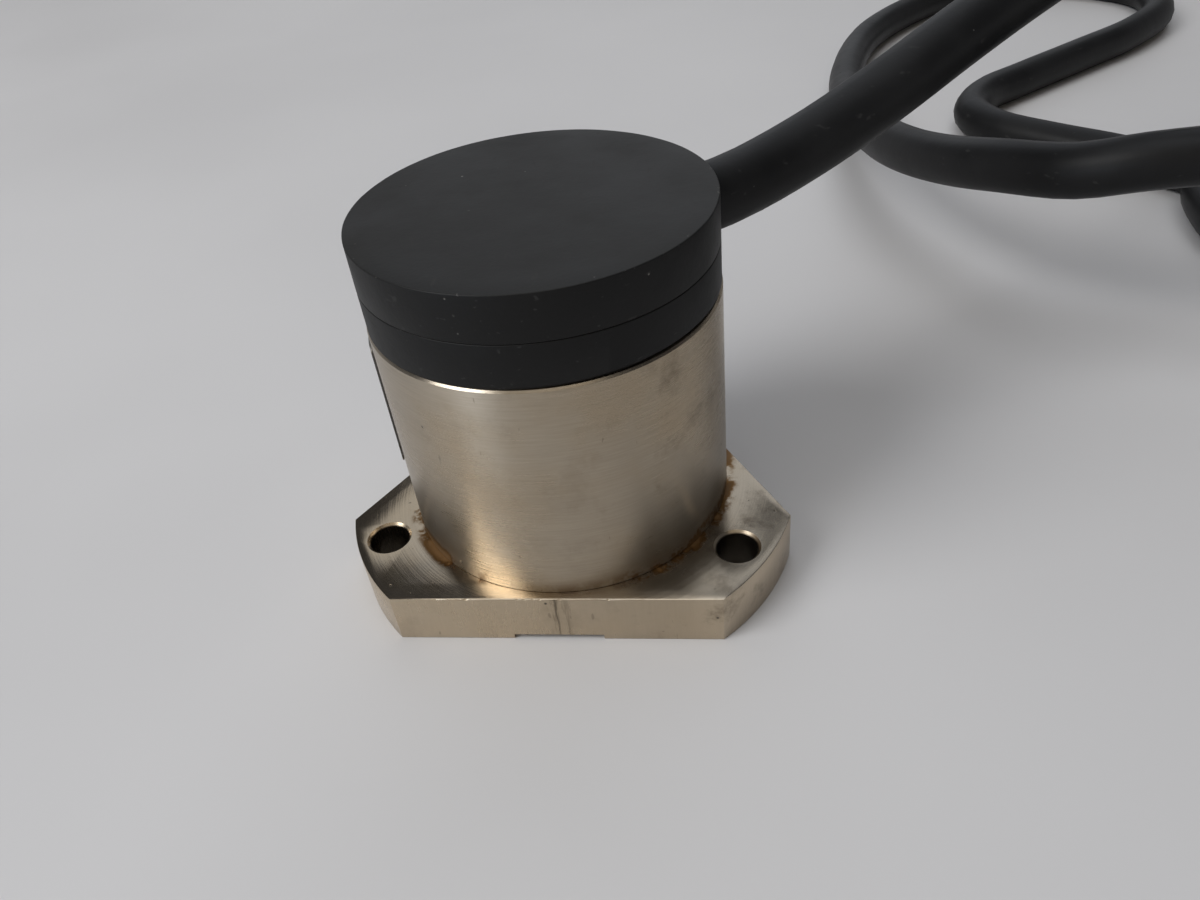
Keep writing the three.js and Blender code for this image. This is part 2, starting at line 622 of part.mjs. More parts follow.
add('plug_gland_nut', alongX(turned([
  [0, 0], [4.3, 0], [6.1, 2.6], [6.1, 9.4], [0, 9.4],
], 24)), platedBrass, plug);
add('plug_body', alongX(turned([
  [0, 9.7], [PLUG_RADIUS - 0.5, 9.7], [PLUG_RADIUS, 10.3], [PLUG_RADIUS, 23.6],
  [PLUG_RADIUS - 0.5, 24.1], [5.3, 24.1], [5.3, PLUG_FRONT], [SOCKET_RADIUS, PLUG_FRONT],
  [SOCKET_RADIUS, SOCKET_FROM], [0, SOCKET_FROM],
], 24)), platedBrass, plug);
add('plug_insert', plugInsert(), connectorPlastic, plug);
add('coupling_nut', couplingNut(), platedBrass, plug);

export default encoder;
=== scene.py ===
"""A blind hollow-shaft rotary encoder with its moulded-in cable, standing on a pale table."""
import random
from math import acos, atan2, cos, degrees, pi, radians, sin, sqrt, tan

import bmesh
import bpy
from mathutils import Matrix, Quaternion, Vector


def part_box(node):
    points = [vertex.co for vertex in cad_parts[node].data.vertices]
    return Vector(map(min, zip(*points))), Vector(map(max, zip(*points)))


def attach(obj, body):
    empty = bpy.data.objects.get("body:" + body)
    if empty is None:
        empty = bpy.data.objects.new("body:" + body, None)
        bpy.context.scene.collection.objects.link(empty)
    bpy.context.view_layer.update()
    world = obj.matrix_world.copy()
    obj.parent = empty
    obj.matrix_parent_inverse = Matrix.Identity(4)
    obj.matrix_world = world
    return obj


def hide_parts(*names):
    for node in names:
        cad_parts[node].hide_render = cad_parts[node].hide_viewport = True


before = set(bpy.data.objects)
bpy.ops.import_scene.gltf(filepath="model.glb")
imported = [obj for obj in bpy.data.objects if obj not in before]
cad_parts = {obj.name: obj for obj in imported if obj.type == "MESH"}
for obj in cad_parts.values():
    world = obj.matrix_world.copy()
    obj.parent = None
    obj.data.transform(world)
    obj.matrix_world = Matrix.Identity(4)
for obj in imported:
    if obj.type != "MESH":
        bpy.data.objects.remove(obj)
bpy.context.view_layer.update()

MM = 0.001
TURN = 2 * pi
random.seed(7)

# ---- driving places and sizes, in metres unless they say otherwise ----
sleeve_low, sleeve_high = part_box("body_sleeve")
flange_low, flange_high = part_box("mounting_flange")
AXIS = Vector(((sleeve_low.x + sleeve_high.x) / 2, (sleeve_low.y + sleeve_high.y) / 2, 0))
BODY_RADIUS = (sleeve_high.x - sleeve_low.x) / 2
SEAT = 0.05 * MM
FLANGE_TOP = sleeve_low.z - SEAT
FLANGE_RADIUS = flange_high.y - AXIS.y
FRONT_FLAT = AXIS.y - flange_low.y
REAR_FLATS = 17.7 * MM
HOLE_CIRCLE = 21.5 * MM
HOLE_RADIUS_MM = 2.15
HOLE_ANGLES = (90, 206, 329)
GROOVE_WIDTH = 9.4 * MM
GROOVE_DEPTH = 0.65 * MM
CABLE_DIAMETER = 7 * MM
CABLE_AZIMUTH = radians(30)
CABLE_HEIGHT = 35 * MM
TO_X = Matrix.Rotation(pi / 2, 4, "Y")
OUTLET = Matrix.Translation((0, 0, CABLE_HEIGHT)) @ Matrix.Rotation(CABLE_AZIMUTH, 4, "Z") @ TO_X

# The cable's route outside the coil, in millimetres from the shaft axis.
LEAD_ROUTE = [
    (11, 6.35, 35), (15.5, 9, 35), (20, 12.8, 35.1), (28, 19.2, 36.7), (36, 25.9, 39.1),
    (44, 32.7, 41.9), (52.5, 40.2, 44.4), (63, 51, 45.9), (76, 63.5, 45.4), (90, 75, 42.2),
    (104, 83.5, 37), (117, 88.2, 31.5), (128, 89.6, 27.5), (136, 89.6, 26.1),
]
TAIL_ROUTE = [
    (97, 76.5, 3.5), (87.5, 87, 3.5), (78, 95, 3.5), (70.5, 102.5, 3.5), (67.5, 111.5, 3.5),
    (71.5, 121, 3.5), (81, 129.5, 3.5), (96, 142, 3.5), (111, 155, 3.5), (122, 170, 3.5),
    (123.5, 187, 3.5), (113, 200, 3.5), (96, 204, 3.5), (79.5, 198, 3.5), (65.5, 184.5, 3.5),
    (54.5, 167.5, 3.55), (48.5, 150, 3.8), (44.5, 127, 5.3), (43, 98, 10), (45, 72, 14.5),
    (49.5, 56, 18), (55, 45.5, 21), (62, 38, 23), (69, 35, 25), (77, 33.5, 26), (91, 31, 26.4),
    (104, 27.5, 26.3), (115, 26, 27.5), (124.3, 28.2, 29.4), (132.2, 31.86, 29.6),
]
PLUG_REAR = AXIS + Vector((0.1325, 0.032, 0.0296))
PLUG_HEADING = radians(25)

# ---- camera ----
VIEW_FROM = Vector((0.01725, -0.08373, 0.07555))
VIEW_DIRECTION = Vector((-0.131, 0.769, -0.6255))
VIEW_ROLL = radians(-7.23)


def placed(name, data):
    """A new object in the scene."""
    made = bpy.data.objects.new(name, data)
    bpy.context.scene.collection.objects.link(made)
    return made


def make_camera():
    data = bpy.data.cameras.new("camera")
    data.sensor_width = 36
    data.lens = 28.125
    data.clip_start = 0.005
    data.clip_end = 20
    camera = placed("camera", data)
    camera.rotation_mode = "QUATERNION"
    level = VIEW_DIRECTION.to_track_quat("-Z", "Y")
    camera.rotation_quaternion = level @ Quaternion((0, 0, 1), VIEW_ROLL)
    camera.location = VIEW_FROM
    bpy.context.scene.camera = camera


make_camera()

# ---- the cable's centreline ----
COIL_CENTRE = AXIS + Vector((0.140, 0.058, 0))
COIL_INNER = 31.5 * MM
COIL_OUTER = 38.5 * MM
COIL_LEVELS = (4.7 * MM, 11.7 * MM, 18.7 * MM)
COIL_ENTRY_HEIGHT = 26.1 * MM
COIL_TURN_POINTS = 24
COIL_EXIT_RADIUS = 46.8 * MM
COIL_EXIT_ANGLE = 2086
TAIL_HEIGHT = 3.5 * MM


def ease(value, start, end):
    """0 before start, 1 after end, and smooth between them."""
    share = min(1.0, max(0.0, (value - start) / (end - start)))
    return share * share * (3 - 2 * share)


def coil_point(angle):
    """The centreline at an angle in degrees wound clockwise from the coil's far side."""
    wide = COIL_OUTER - COIL_INNER
    radius = COIL_INNER
    radius += wide * (ease(angle, 360, 390) - ease(angle, 1020, 1050) + ease(angle, 1680, 1710))
    radius += (COIL_EXIT_RADIUS - COIL_OUTER) * ease(angle, 2010, 2080)
    low, middle, high = COIL_LEVELS
    height = COIL_ENTRY_HEIGHT
    height += (high - COIL_ENTRY_HEIGHT) * ease(angle, 30, 60)
    height += (middle - high) * ease(angle, 690, 720)
    height += (low - middle) * ease(angle, 1350, 1380)
    height += (TAIL_HEIGHT - low) * ease(angle, 1990, 2080)
    azimuth = radians(90 - angle)
    return COIL_CENTRE + Vector((radius * cos(azimuth), radius * sin(azimuth), height))


def smooth_line(points, spacing):
    """Points along a centripetal Catmull-Rom curve through the given ones."""
    ends = [2 * points[0] - points[1], *points, 2 * points[-1] - points[-2]]
    line = []
    for a, b, c, d in zip(ends, ends[1:], ends[2:], ends[3:]):
        t1 = sqrt((b - a).length)
        t2 = t1 + sqrt((c - b).length)
        t3 = t2 + sqrt((d - c).length)
        steps = max(1, round((c - b).length / spacing))
        for i in range(steps):
            t = t1 + (t2 - t1) * i / steps
            ab = a.lerp(b, t / t1)
            bc = b.lerp(c, (t - t1) / (t2 - t1))
            cd = c.lerp(d, (t - t2) / (t3 - t2))
            line.append(ab.lerp(bc, t / t2).lerp(bc.lerp(cd, (t - t1) / (t3 - t1)), (t - t1) / (t2 - t1)))
    return [*line, points[-1]]


def cable_line():
    step = 360 / COIL_TURN_POINTS
    turns = [coil_point(i * step) for i in range(int(COIL_EXIT_ANGLE / step) + 1)]
    lead = [AXIS + Vector(p) * MM for p in LEAD_ROUTE]
    tail = [AXIS + Vector(p) * MM for p in TAIL_ROUTE]
    into_plug = PLUG_REAR + 5 * MM * Vector((cos(PLUG_HEADING), sin(PLUG_HEADING), 0))
    return smooth_line([*lead, *turns, *tail, into_plug], 2.4 * MM)


# ---- mesh helpers ----
FILLET_STEPS = 4
SHARP_ANGLE = radians(35)


def new_object(name, build):
    """An object whose mesh the build function fills through bmesh."""
    mesh = bpy.data.meshes.new(name)
    bm = bmesh.new()
    build(bm)
    bmesh.ops.recalc_face_normals(bm, faces=bm.faces)
    bm.to_mesh(mesh)
    bm.free()
    return placed(name, mesh)


def arc(x, y, radius, start, end, count):
    """Points on an arc, from one angle to another in degrees."""
    angles = [radians(start + (end - start) * i / count) for i in range(count + 1)]
    return [(x + radius * cos(a), y + radius * sin(a)) for a in angles]


def filleted(points, closed):
    """The outline with each corner that carries a third value rounded by that radius."""
    out = []
    count = len(points)
    for i, point in enumerate(points):
        corner = Vector(point[:2])
        radius = point[2] if len(point) > 2 else 0
        if radius == 0 or (not closed and i in (0, count - 1)):
            out.append(tuple(corner))
            continue
        before = (Vector(points[i - 1][:2]) - corner).normalized()
        after = (Vector(points[(i + 1) % count][:2]) - corner).normalized()
        half = before.angle(after) / 2
        reach = radius / tan(half)
        centre = corner + (before + after).normalized() * radius / sin(half)
        first = (corner + before * reach - centre).normalized()
        last = (corner + after * reach - centre).normalized()
        for k in range(FILLET_STEPS + 1):
            out.append(tuple(centre + radius * first.slerp(last, k / FILLET_STEPS)))
    return out


def scaled(points):
    """Points given in millimetres, in metres."""
    return [tuple(value * MM for value in point) for point in points]


def lathe(name, profile, segments=144, shape=None):
    """A solid of revolution about +Z through the origin, from (radius, height) points in millimetres."""
    points = filleted(scaled(profile), closed=profile[0][0] > 0)

    def build(bm):
        rings = []
        for radius, height in points:
            if radius < 1e-9:
                rings.append([bm.verts.new((0, 0, height))])
                continue
            ring = []
            for k in range(segments):
                angle = TURN * k / segments
                r = shape(radius, height, angle) if shape else radius
                ring.append(bm.verts.new((r * cos(angle), r * sin(angle), height)))
            rings.append(ring)
        pairs = list(zip(rings, rings[1:]))
        if len(rings[0]) > 1:
            pairs.append((rings[-1], rings[0]))
        for a, b in pairs:
            for k in range(segments):
                corners = [a[k % len(a)], a[(k + 1) % len(a)], b[(k + 1) % len(b)], b[k % len(b)]]
                face = list(dict.fromkeys(corners))
                if len(face) > 2:
                    bm.faces.new(face)

    return new_object(name, build)


def prism(name, outline, bottom, top, edge=0.0):
    """An extruded outline, with its top and bottom edges rounded by the given radius."""

    def build(bm):
        base = bm.faces.new([bm.verts.new((x, y, bottom)) for x, y in outline])
        lifted = bmesh.ops.extrude_face_region(bm, geom=[base])["geom"]
        verts = [v for v in lifted if isinstance(v, bmesh.types.BMVert)]
        bmesh.ops.translate(bm, vec=(0, 0, top - bottom), verts=verts)
        if edge:
            rims = [e for e in bm.edges if abs(e.verts[0].co.z - e.verts[1].co.z) < 1e-9]
            bmesh.ops.bevel(bm, geom=rims, offset=edge, segments=2, profile=0.5, affect="EDGES")

    return new_object(name, build)


def rectangle(width, depth, radius, count=4):
    x, y = width / 2 - radius, depth / 2 - radius
    return [
        *arc(x, y, radius, 0, 90, count), *arc(-x, y, radius, 90, 180, count),
        *arc(-x, -y, radius, 180, 270, count), *arc(x, -y, radius, 270, 360, count),
    ]


def moved(made, matrix):
    made.data.transform(matrix)
    return made


def combined(target, tools, operation):
    """Cuts the target by the tools, or joins it to them. The tools are used up."""
    for tool in tools:
        modifier = target.modifiers.new("boolean", "BOOLEAN")
        modifier.operation = operation
        modifier.solver = "EXACT"
        modifier.object = tool
    graph = bpy.context.evaluated_depsgraph_get()
    mesh = bpy.data.meshes.new_from_object(target.evaluated_get(graph))
    target.modifiers.clear()
    target.data = mesh
    for tool in tools:
        bpy.data.objects.remove(tool)


def cut(target, *tools):
    combined(target, tools, "DIFFERENCE")


def shifted(made, x, y):
    """The object moved by distances in millimetres."""
    return moved(made, Matrix.Translation((x * MM, y * MM, 0)))


def on_axis(made):
    return moved(made, Matrix.Translation(AXIS))


def rod(low, high, radius, segments=32):
    """An upright cylinder about the origin, given in millimetres."""
    return lathe("rod", [(0, low), (radius, low), (radius, high), (0, high)], segments)


def peg(x, y, low, high, radius):
    return shifted(rod(low, high, radius), x, y)


def block(name, width, depth, low, high, x, y, edge=0.12):
    """A box with rounded edges, given in millimetres."""
    outline = rectangle(width * MM, depth * MM, 1.5 * edge * MM, 3)
    return shifted(prism(name, outline, low * MM, high * MM, edge * MM), x, y)


def round_line(name, points, diameter):
    """A round wire along a smooth line."""
    data = bpy.data.curves.new(name, "CURVE")
    data.dimensions = "3D"
    data.bevel_depth = diameter / 2
    data.bevel_resolution = 6
    data.use_fill_caps = True
    spline = data.splines.new("POLY")
    spline.points.add(len(points) - 1)
    for target, point in zip(spline.points, points):
        target.co = (*point, 1.0)
    spline.use_smooth = True
    return placed(name, data)


def piece(made, body, slot, finish, *nodes):
    """Finishes a new piece: its material, its body and the CAD nodes it stands for. The slot argument is
    not used.
    """
    if made.type == "MESH":
        made.data.polygons.foreach_set("use_smooth", [True] * len(made.data.polygons))
        made.data.set_sharp_from_angle(angle=SHARP_ANGLE)
    made.data.materials.clear()
    made.data.materials.append(finish)
    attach(made, body)
    if nodes:
        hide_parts(*nodes)
    return made


def fixed(made, slot, finish, *nodes):
    """A housing piece that was made about the origin, put on the shaft axis."""
    return piece(on_axis(made), "housing", slot, finish, *nodes)


# ---- shader helpers ----
class Nodes:
    """A node tree that is being built, with coordinates of the given kind."""

    def __init__(self, owner, coordinates):
        owner.use_nodes = True
        self.tree = owner.node_tree
        self.place = self.tree.nodes.new("ShaderNodeTexCoord").outputs[coordinates]

    def feed(self, socket, value):
        if isinstance(value, bpy.types.NodeSocket):
            self.tree.links.new(value, socket)
        else:
            socket.default_value = value

    def node(self, kind, inputs, **settings):
        made = self.tree.nodes.new(kind)
        for key, value in settings.items():
            setattr(made, key, value)
        for key, value in inputs.items():
            self.feed(made.inputs[key], value)
        return made

    def math(self, operation, a, b=0.0):
        return self.node("ShaderNodeMath", {0: a, 1: b}, operation=operation).outputs[0]

    def plus(self, a, b):
        return self.math("ADD", a, b)

    def minus(self, a, b):
        return self.math("SUBTRACT", a, b)

    def times(self, first, *factors):
        for factor in factors:
            first = self.math("MULTIPLY", first, factor)
        return first

    def apart(self, a, b):
        return self.math("ABSOLUTE", self.minus(a, b))

    def vector(self, operation, a, b):
        return self.node("ShaderNodeVectorMath", {0: a, 1: b}, operation=operation).outputs[0]

    def dot(self, a, b):
        made = self.node("ShaderNodeVectorMath", {0: a, 1: b}, operation="DOT_PRODUCT")
        return made.outputs["Value"]

    def span(self, value, low, high, to_low=0.0, to_high=1.0):
        made = self.node("ShaderNodeMapRange", {
            "Value": value, "From Min": low, "From Max": high, "To Min": to_low,
            "To Max": to_high}, interpolation_type="SMOOTHSTEP")
        return made.outputs[0]

    def fall(self, value, low, high):
        return self.span(value, low, high, 1, 0)

    def spread(self, value, to_low=0.0, to_high=1.0):
        """The middle of a noise's range, spread from one value to another."""
        return self.span(value, 0.3, 0.7, to_low, to_high)

    def mix(self, share, a, b):
        made = self.node("ShaderNodeMix", {0: share}, data_type="RGBA")
        for socket, colour in ((made.inputs[6], a), (made.inputs[7], b)):
            self.feed(socket, (*colour, 1.0) if isinstance(colour, tuple) else colour)
        return made.outputs[2]


class Finish(Nodes):
    """A procedural Principled material that is being built. Coordinates are in metres."""

    def __init__(self, name, **constants):
        self.material = bpy.data.materials.new(name)
        super().__init__(self.material, "Object")
        self.shader = self.tree.nodes["Principled BSDF"]
        for key, value in constants.items():
            self.shader.inputs[key.replace("_", " ")].default_value = value

    def noise(self, scale, detail=3.0, roughness=0.55, at=None):
        """Noise of one scale, or stretched with a scale for each axis."""
        if isinstance(scale, tuple):
            at, scale = self.vector("MULTIPLY", self.place, scale), 1.0
        made = self.node("ShaderNodeTexNoise", {
            "Vector": at or self.place, "Scale": scale, "Detail": detail, "Roughness": roughness})
        return made.outputs[0]

    def cells(self, scale):
        inputs = {"Vector": self.place, "Scale": scale, "Randomness": 1.0}
        return self.node("ShaderNodeTexVoronoi", inputs).outputs["Distance"]

    def specks(self, scale, low, high, patches, start, end):
        """Small dots, only where a coarser noise lets them show."""
        dots = self.fall(self.cells(scale), low, high)
        return self.times(dots, self.span(self.noise(patches, 2), start, end))

    def tint(self, colour, mask, strength, tone):
        return self.mix(self.times(mask, strength), colour, tone)

    def split(self, axis):
        return self.node("ShaderNodeSeparateXYZ", {0: self.place}).outputs[axis]

    def radius(self, centre):
        """Distance from a vertical line."""
        offset = self.vector("SUBTRACT", self.place, tuple(centre))
        flat = self.vector("MULTIPLY", offset, (1, 1, 0))
        made = self.node("ShaderNodeVectorMath", {0: flat}, operation="LENGTH")
        return made.outputs["Value"]

    def azimuth(self, middle):
        """The angle round the shaft axis, counted from a middle one."""
        out, side = (cos(middle), sin(middle), 0), (-sin(middle), cos(middle), 0)
        offset = self.vector("SUBTRACT", self.place, tuple(AXIS))
        return self.math("ARCTAN2", self.dot(offset, side), self.dot(offset, out))

    def along(self, value):
        """A coordinate vector that varies with one number only."""
        return self.node("ShaderNodeCombineXYZ", {0: value}).outputs[0]

    def bump(self, *layers):
        """Bumps of one height and distance after another, each on top of the one before."""
        below = {}
        for height, distance in layers:
            made = self.node("ShaderNodeBump", {"Height": height, "Distance": distance, **below})
            below = {"Normal": made.outputs[0]}
        return below["Normal"]

    def done(self, colour, roughness, normal=None):
        for key, value in (("Base Color", colour), ("Roughness", roughness), ("Normal", normal)):
            if value is not None:
                self.feed(self.shader.inputs[key], value)
        return self.material


WARM_NICKEL = (0.47, 0.384, 0.275)
COOL_NICKEL = (0.50, 0.437, 0.35)
# Darker nickel tones for stains and painted shade, and a lighter one for painted light.
STAIN_AND_SHADE_NICKEL = (0.20, 0.16, 0.115)
SHADED_SIDE_NICKEL = (0.27, 0.21, 0.14)
PAINTED_LIT_NICKEL = (0.62, 0.51, 0.37)
RUST = (0.17, 0.085, 0.024)
FRONT_FACE = AXIS.y - FRONT_FLAT


def hole_places():
    """Where the screw holes stand, seen from the shaft axis."""
    turns = [radians(angle) for angle in HOLE_ANGLES]
    return [Vector((cos(turn), sin(turn), 0)) * HOLE_CIRCLE for turn in turns]


def nickel(name, grain, low, high, anisotropy, shade, painted_light=0.0):
    """Turned steel with a worn nickel finish, with painted shade and painted light on it. The grain runs
    round the shaft axis.
    """
    f = Finish(name, Anisotropic=anisotropy, Anisotropic_Rotation=0.25)
    radius = f.radius(AXIS)
    clouds = f.noise(60, 4, 0.6)
    colour = f.mix(f.span(clouds, 0.34, 0.66), WARM_NICKEL, COOL_NICKEL)
    # Painted light: a share of lighter nickel, which makes the flange's upright faces look more lit.
    colour = f.mix(painted_light, colour, PAINTED_LIT_NICKEL)
    aside = f.minus(f.split("X"), AXIS.x)
    # Dark stains in mottled patches, stronger towards the right side: the mottling is stain, and its rise
    # to the right is painted shade.
    stains_and_shade = f.span(f.noise(150, 6, 0.7), 0.50, 0.72)
    stains_and_shade = f.times(stains_and_shade, f.span(aside, 3 * MM, 13 * MM, 0.2, 0.8))
    colour = f.mix(stains_and_shade, colour, STAIN_AND_SHADE_NICKEL)
    # Painted shade: the steel darkens from 6 mm left of the axis to 10 mm right of it, and less again
    # past 12 mm, as the shade on that side.
    painted_side_shade = f.times(f.span(aside, -6 * MM, 10 * MM), f.span(aside, 12 * MM, 16 * MM, 0.3, 0.1))
    colour = f.mix(painted_side_shade, colour, SHADED_SIDE_NICKEL)
    # Brown bleeding out of the joint between the body and the flange.
    near_joint = f.fall(f.apart(radius, BODY_RADIUS), 0.05 * MM, 1.7 * MM)
    above_top = f.minus(f.split("Z"), FLANGE_TOP)
    above_joint = f.fall(above_top, 0.1 * MM, 2.4 * MM)
    not_below = f.span(above_top, -0.4 * MM, -0.1 * MM)
    off_front = f.span(f.math("ABSOLUTE", aside), 5 * MM, 12 * MM, 0.25, 1)
    patches = f.span(f.noise(115, 5, 0.72), 0.44, 0.62)
    rust = f.times(near_joint, above_joint, not_below, off_front, patches, 0.9)
    colour = f.mix(f.span(rust, 0, 0.45), colour, RUST)
    f.feed(f.shader.inputs["Metallic"], f.span(rust, 0.35, 0.9, 1, 0.3))
    pits = f.specks(700, 0.06, 0.15, 300, 0.62, 0.67)
    colour = f.tint(colour, pits, 0.85, (0.04, 0.035, 0.03))
    if grain == "side":
        lines = f.noise((220, 220, 6500), 4, 0.75)
        broad = f.noise((35, 35, 1500), 2, 0.5)
    elif grain == "face":
        lines = f.noise(1.0, 4, 0.75, at=f.along(f.times(radius, 5200)))
        broad = f.noise(1.0, 2, 0.5, at=f.along(f.times(radius, 1300)))
    else:
        lines = f.noise((2600, 2600, 240), 4, 0.7)
        broad = f.noise(420, 3, 0.6)
        # A dark smear and a short scrape on the front flat.
        smear = f.fall(f.apart(aside, 0.4 * MM), 0.1 * MM, 1.6 * MM)
        on_front = f.fall(f.split("Y"), FRONT_FACE + 0.2 * MM, FRONT_FACE + 0.4 * MM)
        streaks = f.span(f.noise((1500, 1500, 130), 4, 0.7), 0.46, 0.66)
        colour = f.tint(colour, f.times(smear, on_front, streaks), 0.75, (0.08, 0.066, 0.045))
        # Painted shade: the inside of each screw hole is coloured almost black, as the shade in the hole.
        for place in hole_places():
            beyond = f.minus(f.radius(AXIS + place), HOLE_RADIUS_MM * MM)
            colour = f.mix(f.span(beyond, 0.02 * MM, 0.12 * MM, 0.85, 0), colour, (0.05, 0.043, 0.036))
    colour = f.mix(f.span(lines, 0.25, 0.75, 0.0, shade), colour, STAIN_AND_SHADE_NICKEL)
    scratch = f.span(f.noise((1500, 1300, 420), 1, 0.5), 0.765, 0.79)
    colour = f.tint(colour, scratch, 0.3, (0.1, 0.085, 0.065))
    gloss = f.plus(f.times(clouds, 0.6), f.times(lines, 0.4))
    roughness = f.plus(f.spread(gloss, low, high), f.times(rust, 0.4))
    depth = (0.009 if grain == "face" else 0.02) * MM
    normal = f.bump((lines, 0.009 * MM), (broad, depth), (scratch, -0.012 * MM), (pits, -0.04 * MM))
    return f.done(colour, roughness, normal)


def black_moulding(name, low, high, gloss):
    """Matte black plastic with dust specks, scuffs, worn rims and a fine moulded grain."""
    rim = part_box("cap_upper_disc")[1].z
    f = Finish(name, Specular_IOR_Level=gloss)
    cloud = f.noise(90, 4, 0.6)
    colour = f.mix(f.spread(cloud), low, high)
    dust = f.specks(560, 0.04, 0.09, 230, 0.57, 0.62)
    colour = f.tint(colour, dust, 0.6, (0.26, 0.25, 0.23))
    fibres = f.span(f.noise((900, 260, 1400), 2, 0.6), 0.66, 0.72)
    colour = f.tint(colour, fibres, 0.3, (0.06, 0.059, 0.057))
    flecks = f.span(f.noise(950, 3, 0.7), 0.62, 0.70)
    at_rim = f.fall(f.apart(f.split("Z"), rim), 0.02 * MM, 0.16 * MM)
    flecks = f.times(flecks, at_rim, f.span(f.radius(AXIS), 17 * MM, 17.2 * MM))
    colour = f.tint(colour, flecks, 0.7, (0.20, 0.195, 0.18))
    film = f.span(f.noise(38, 3, 0.6), 0.5, 0.72)
    colour = f.tint(colour, film, 0.3, (0.05, 0.051, 0.054))
    roughness = f.span(f.plus(cloud, f.times(fibres, 0.3)), 0.3, 0.9, 0.48, 0.66)
    grain, waves = f.noise(2600, 3, 0.6), f.noise(240, 3, 0.6)
    return f.done(colour, roughness, f.bump((grain, 0.012 * MM), (waves, 0.05 * MM)))


def cable_jacket(name):
    """Black cable jacket, slightly glossy, with handling marks."""
    f = Finish(name, Specular_IOR_Level=0.15)
    cloud = f.noise(60, 4, 0.6)
    colour = f.mix(f.spread(cloud), (0.009, 0.009, 0.0095), (0.015, 0.015, 0.0155))
    scuff = f.span(f.noise((420, 420, 900), 2, 0.6), 0.66, 0.74)
    colour = f.tint(colour, scuff, 0.3, (0.06, 0.059, 0.057))
    dust = f.specks(480, 0.03, 0.06, 150, 0.58, 0.64)
    colour = f.tint(colour, dust, 0.4, (0.2, 0.2, 0.19))
    roughness = f.span(f.plus(cloud, f.times(scuff, 0.4)), 0.3, 0.9, 0.40, 0.58)
    grain, waves = f.noise(1900, 3, 0.6), f.noise(170, 3, 0.5)
    return f.done(colour, roughness, f.bump((grain, 0.012 * MM), (waves, 0.08 * MM)))


def plain(name, light, dark, low, high, clouds, grain, depth, **constants):
    """Two tones in clouds, a fine grain and uneven gloss."""
    f = Finish(name, **constants)
    cloud, fine = f.noise(clouds, 4, 0.6), f.noise(*grain)
    gloss = f.plus(f.times(cloud, 0.5), f.times(fine, 0.5))
    return f.done(f.mix(f.spread(cloud), light, dark), f.spread(gloss, low, high), f.bump((fine, depth)))


def plain_metal(name, light, dark, low, high):
    return plain(name, light, dark, low, high, 190, (2200, 3, 0.7), 0.006 * MM, Metallic=1.0)


def plain_plastic(name, light, dark, low, high):
    return plain(name, light, dark, low, high, 230, (1700, 3, 0.6), 0.01 * MM, Specular_IOR_Level=0.45)


nickel_side = nickel("nickel_turned_side", "side", 0.235, 0.335, 0.9, 0.22)
nickel_face = nickel("nickel_turned_face", "face", 0.13, 0.24, 0.5, 0.10)
# The milled edges are a lighter copy of the same nickel, with painted light at 0.55.
nickel_edge = nickel("nickel_milled_edge", "edge", 0.24, 0.36, 0.3, 0.06, 0.55)
# Painted shade: the cap's upright sides get the same black plastic in a far darker colour than its top,
# as the shade on them.
cap_side_shaded = black_moulding("black_moulding_side_painted_shade", (0.002, 0.002, 0.002), (0.0034, 0.0033, 0.0032), 0.26)
cap_face = black_moulding("black_moulding_face", (0.0125, 0.0122, 0.0115), (0.0175, 0.017, 0.016), 0.22)
jacket = cable_jacket("cable_jacket")
rubber = plain_plastic("rubber", (0.012, 0.012, 0.012), (0.02, 0.02, 0.02), 0.6, 0.8)
shaft_steel = plain_metal("shaft_steel", (0.55, 0.55, 0.55), (0.47, 0.46, 0.45), 0.2, 0.34)
bearing_steel = plain_metal("bearing_steel", (0.62, 0.62, 0.63), (0.52, 0.52, 0.53), 0.08, 0.2)
dark_steel = plain_metal("dark_steel", (0.2, 0.2, 0.21), (0.13, 0.13, 0.14), 0.3, 0.45)
brass = plain_metal("brass", (0.62, 0.45, 0.19), (0.5, 0.35, 0.14), 0.25, 0.4)
plated = plain_metal("plated_shell", (0.6, 0.6, 0.59), (0.5, 0.49, 0.48), 0.22, 0.36)
nylon_black = plain_plastic("black_nylon", (0.016, 0.016, 0.017), (0.025, 0.025, 0.026), 0.4, 0.55)
nylon_white = plain_plastic("natural_nylon", (0.62, 0.6, 0.53), (0.54, 0.52, 0.45), 0.4, 0.55)

# ---- the cable ----
def make_cable():
    cable = round_line("cable", cable_line(), CABLE_DIAMETER)
    return piece(cable, "housing", "cable_jacket", jacket, "cable_lead", "cable_coil", "cable_tail")


cable = make_cable()

# ---- housing ----
def two_finishes(made, level, upright, slot, node):
    """A housing piece with one finish on its level faces and another on the rest."""
    piece(made, "housing", slot, level, node)
    made.data.materials.append(upright)
    for face in made.data.polygons:
        face.material_index = 0 if abs(face.normal.z) > 0.8 else 1


# In millimetres, for the turned profiles.
SPIGOT_RADIUS = 13
SPIGOT_TOP = 22
REGISTER_TOP = 9
REGISTER_RADIUS = 15.8
SEAT_RADIUS = 10.6
SEAT_BOTTOM = 4.4
SEAL_POCKET = 9.2
SEAL_SHOULDER = 3.2
HOLE_CHAMFER = 0.3
CABLE_HOLE = 3.62
NICK_COUNT = 16


def flange_outline():
    """A circle cut by three flats."""
    points = []
    flats = ((-90, FRONT_FLAT), (30, REAR_FLATS), (150, REAR_FLATS))
    halves = [degrees(acos(distance / FLANGE_RADIUS)) for _, distance in flats]
    for i in range(3):
        start = flats[i][0] + halves[i]
        end = flats[(i + 1) % 3][0] - halves[(i + 1) % 3]
        end += 360 if end < start else 0
        points += arc(0, 0, FLANGE_RADIUS, start, end, 28)
    return points


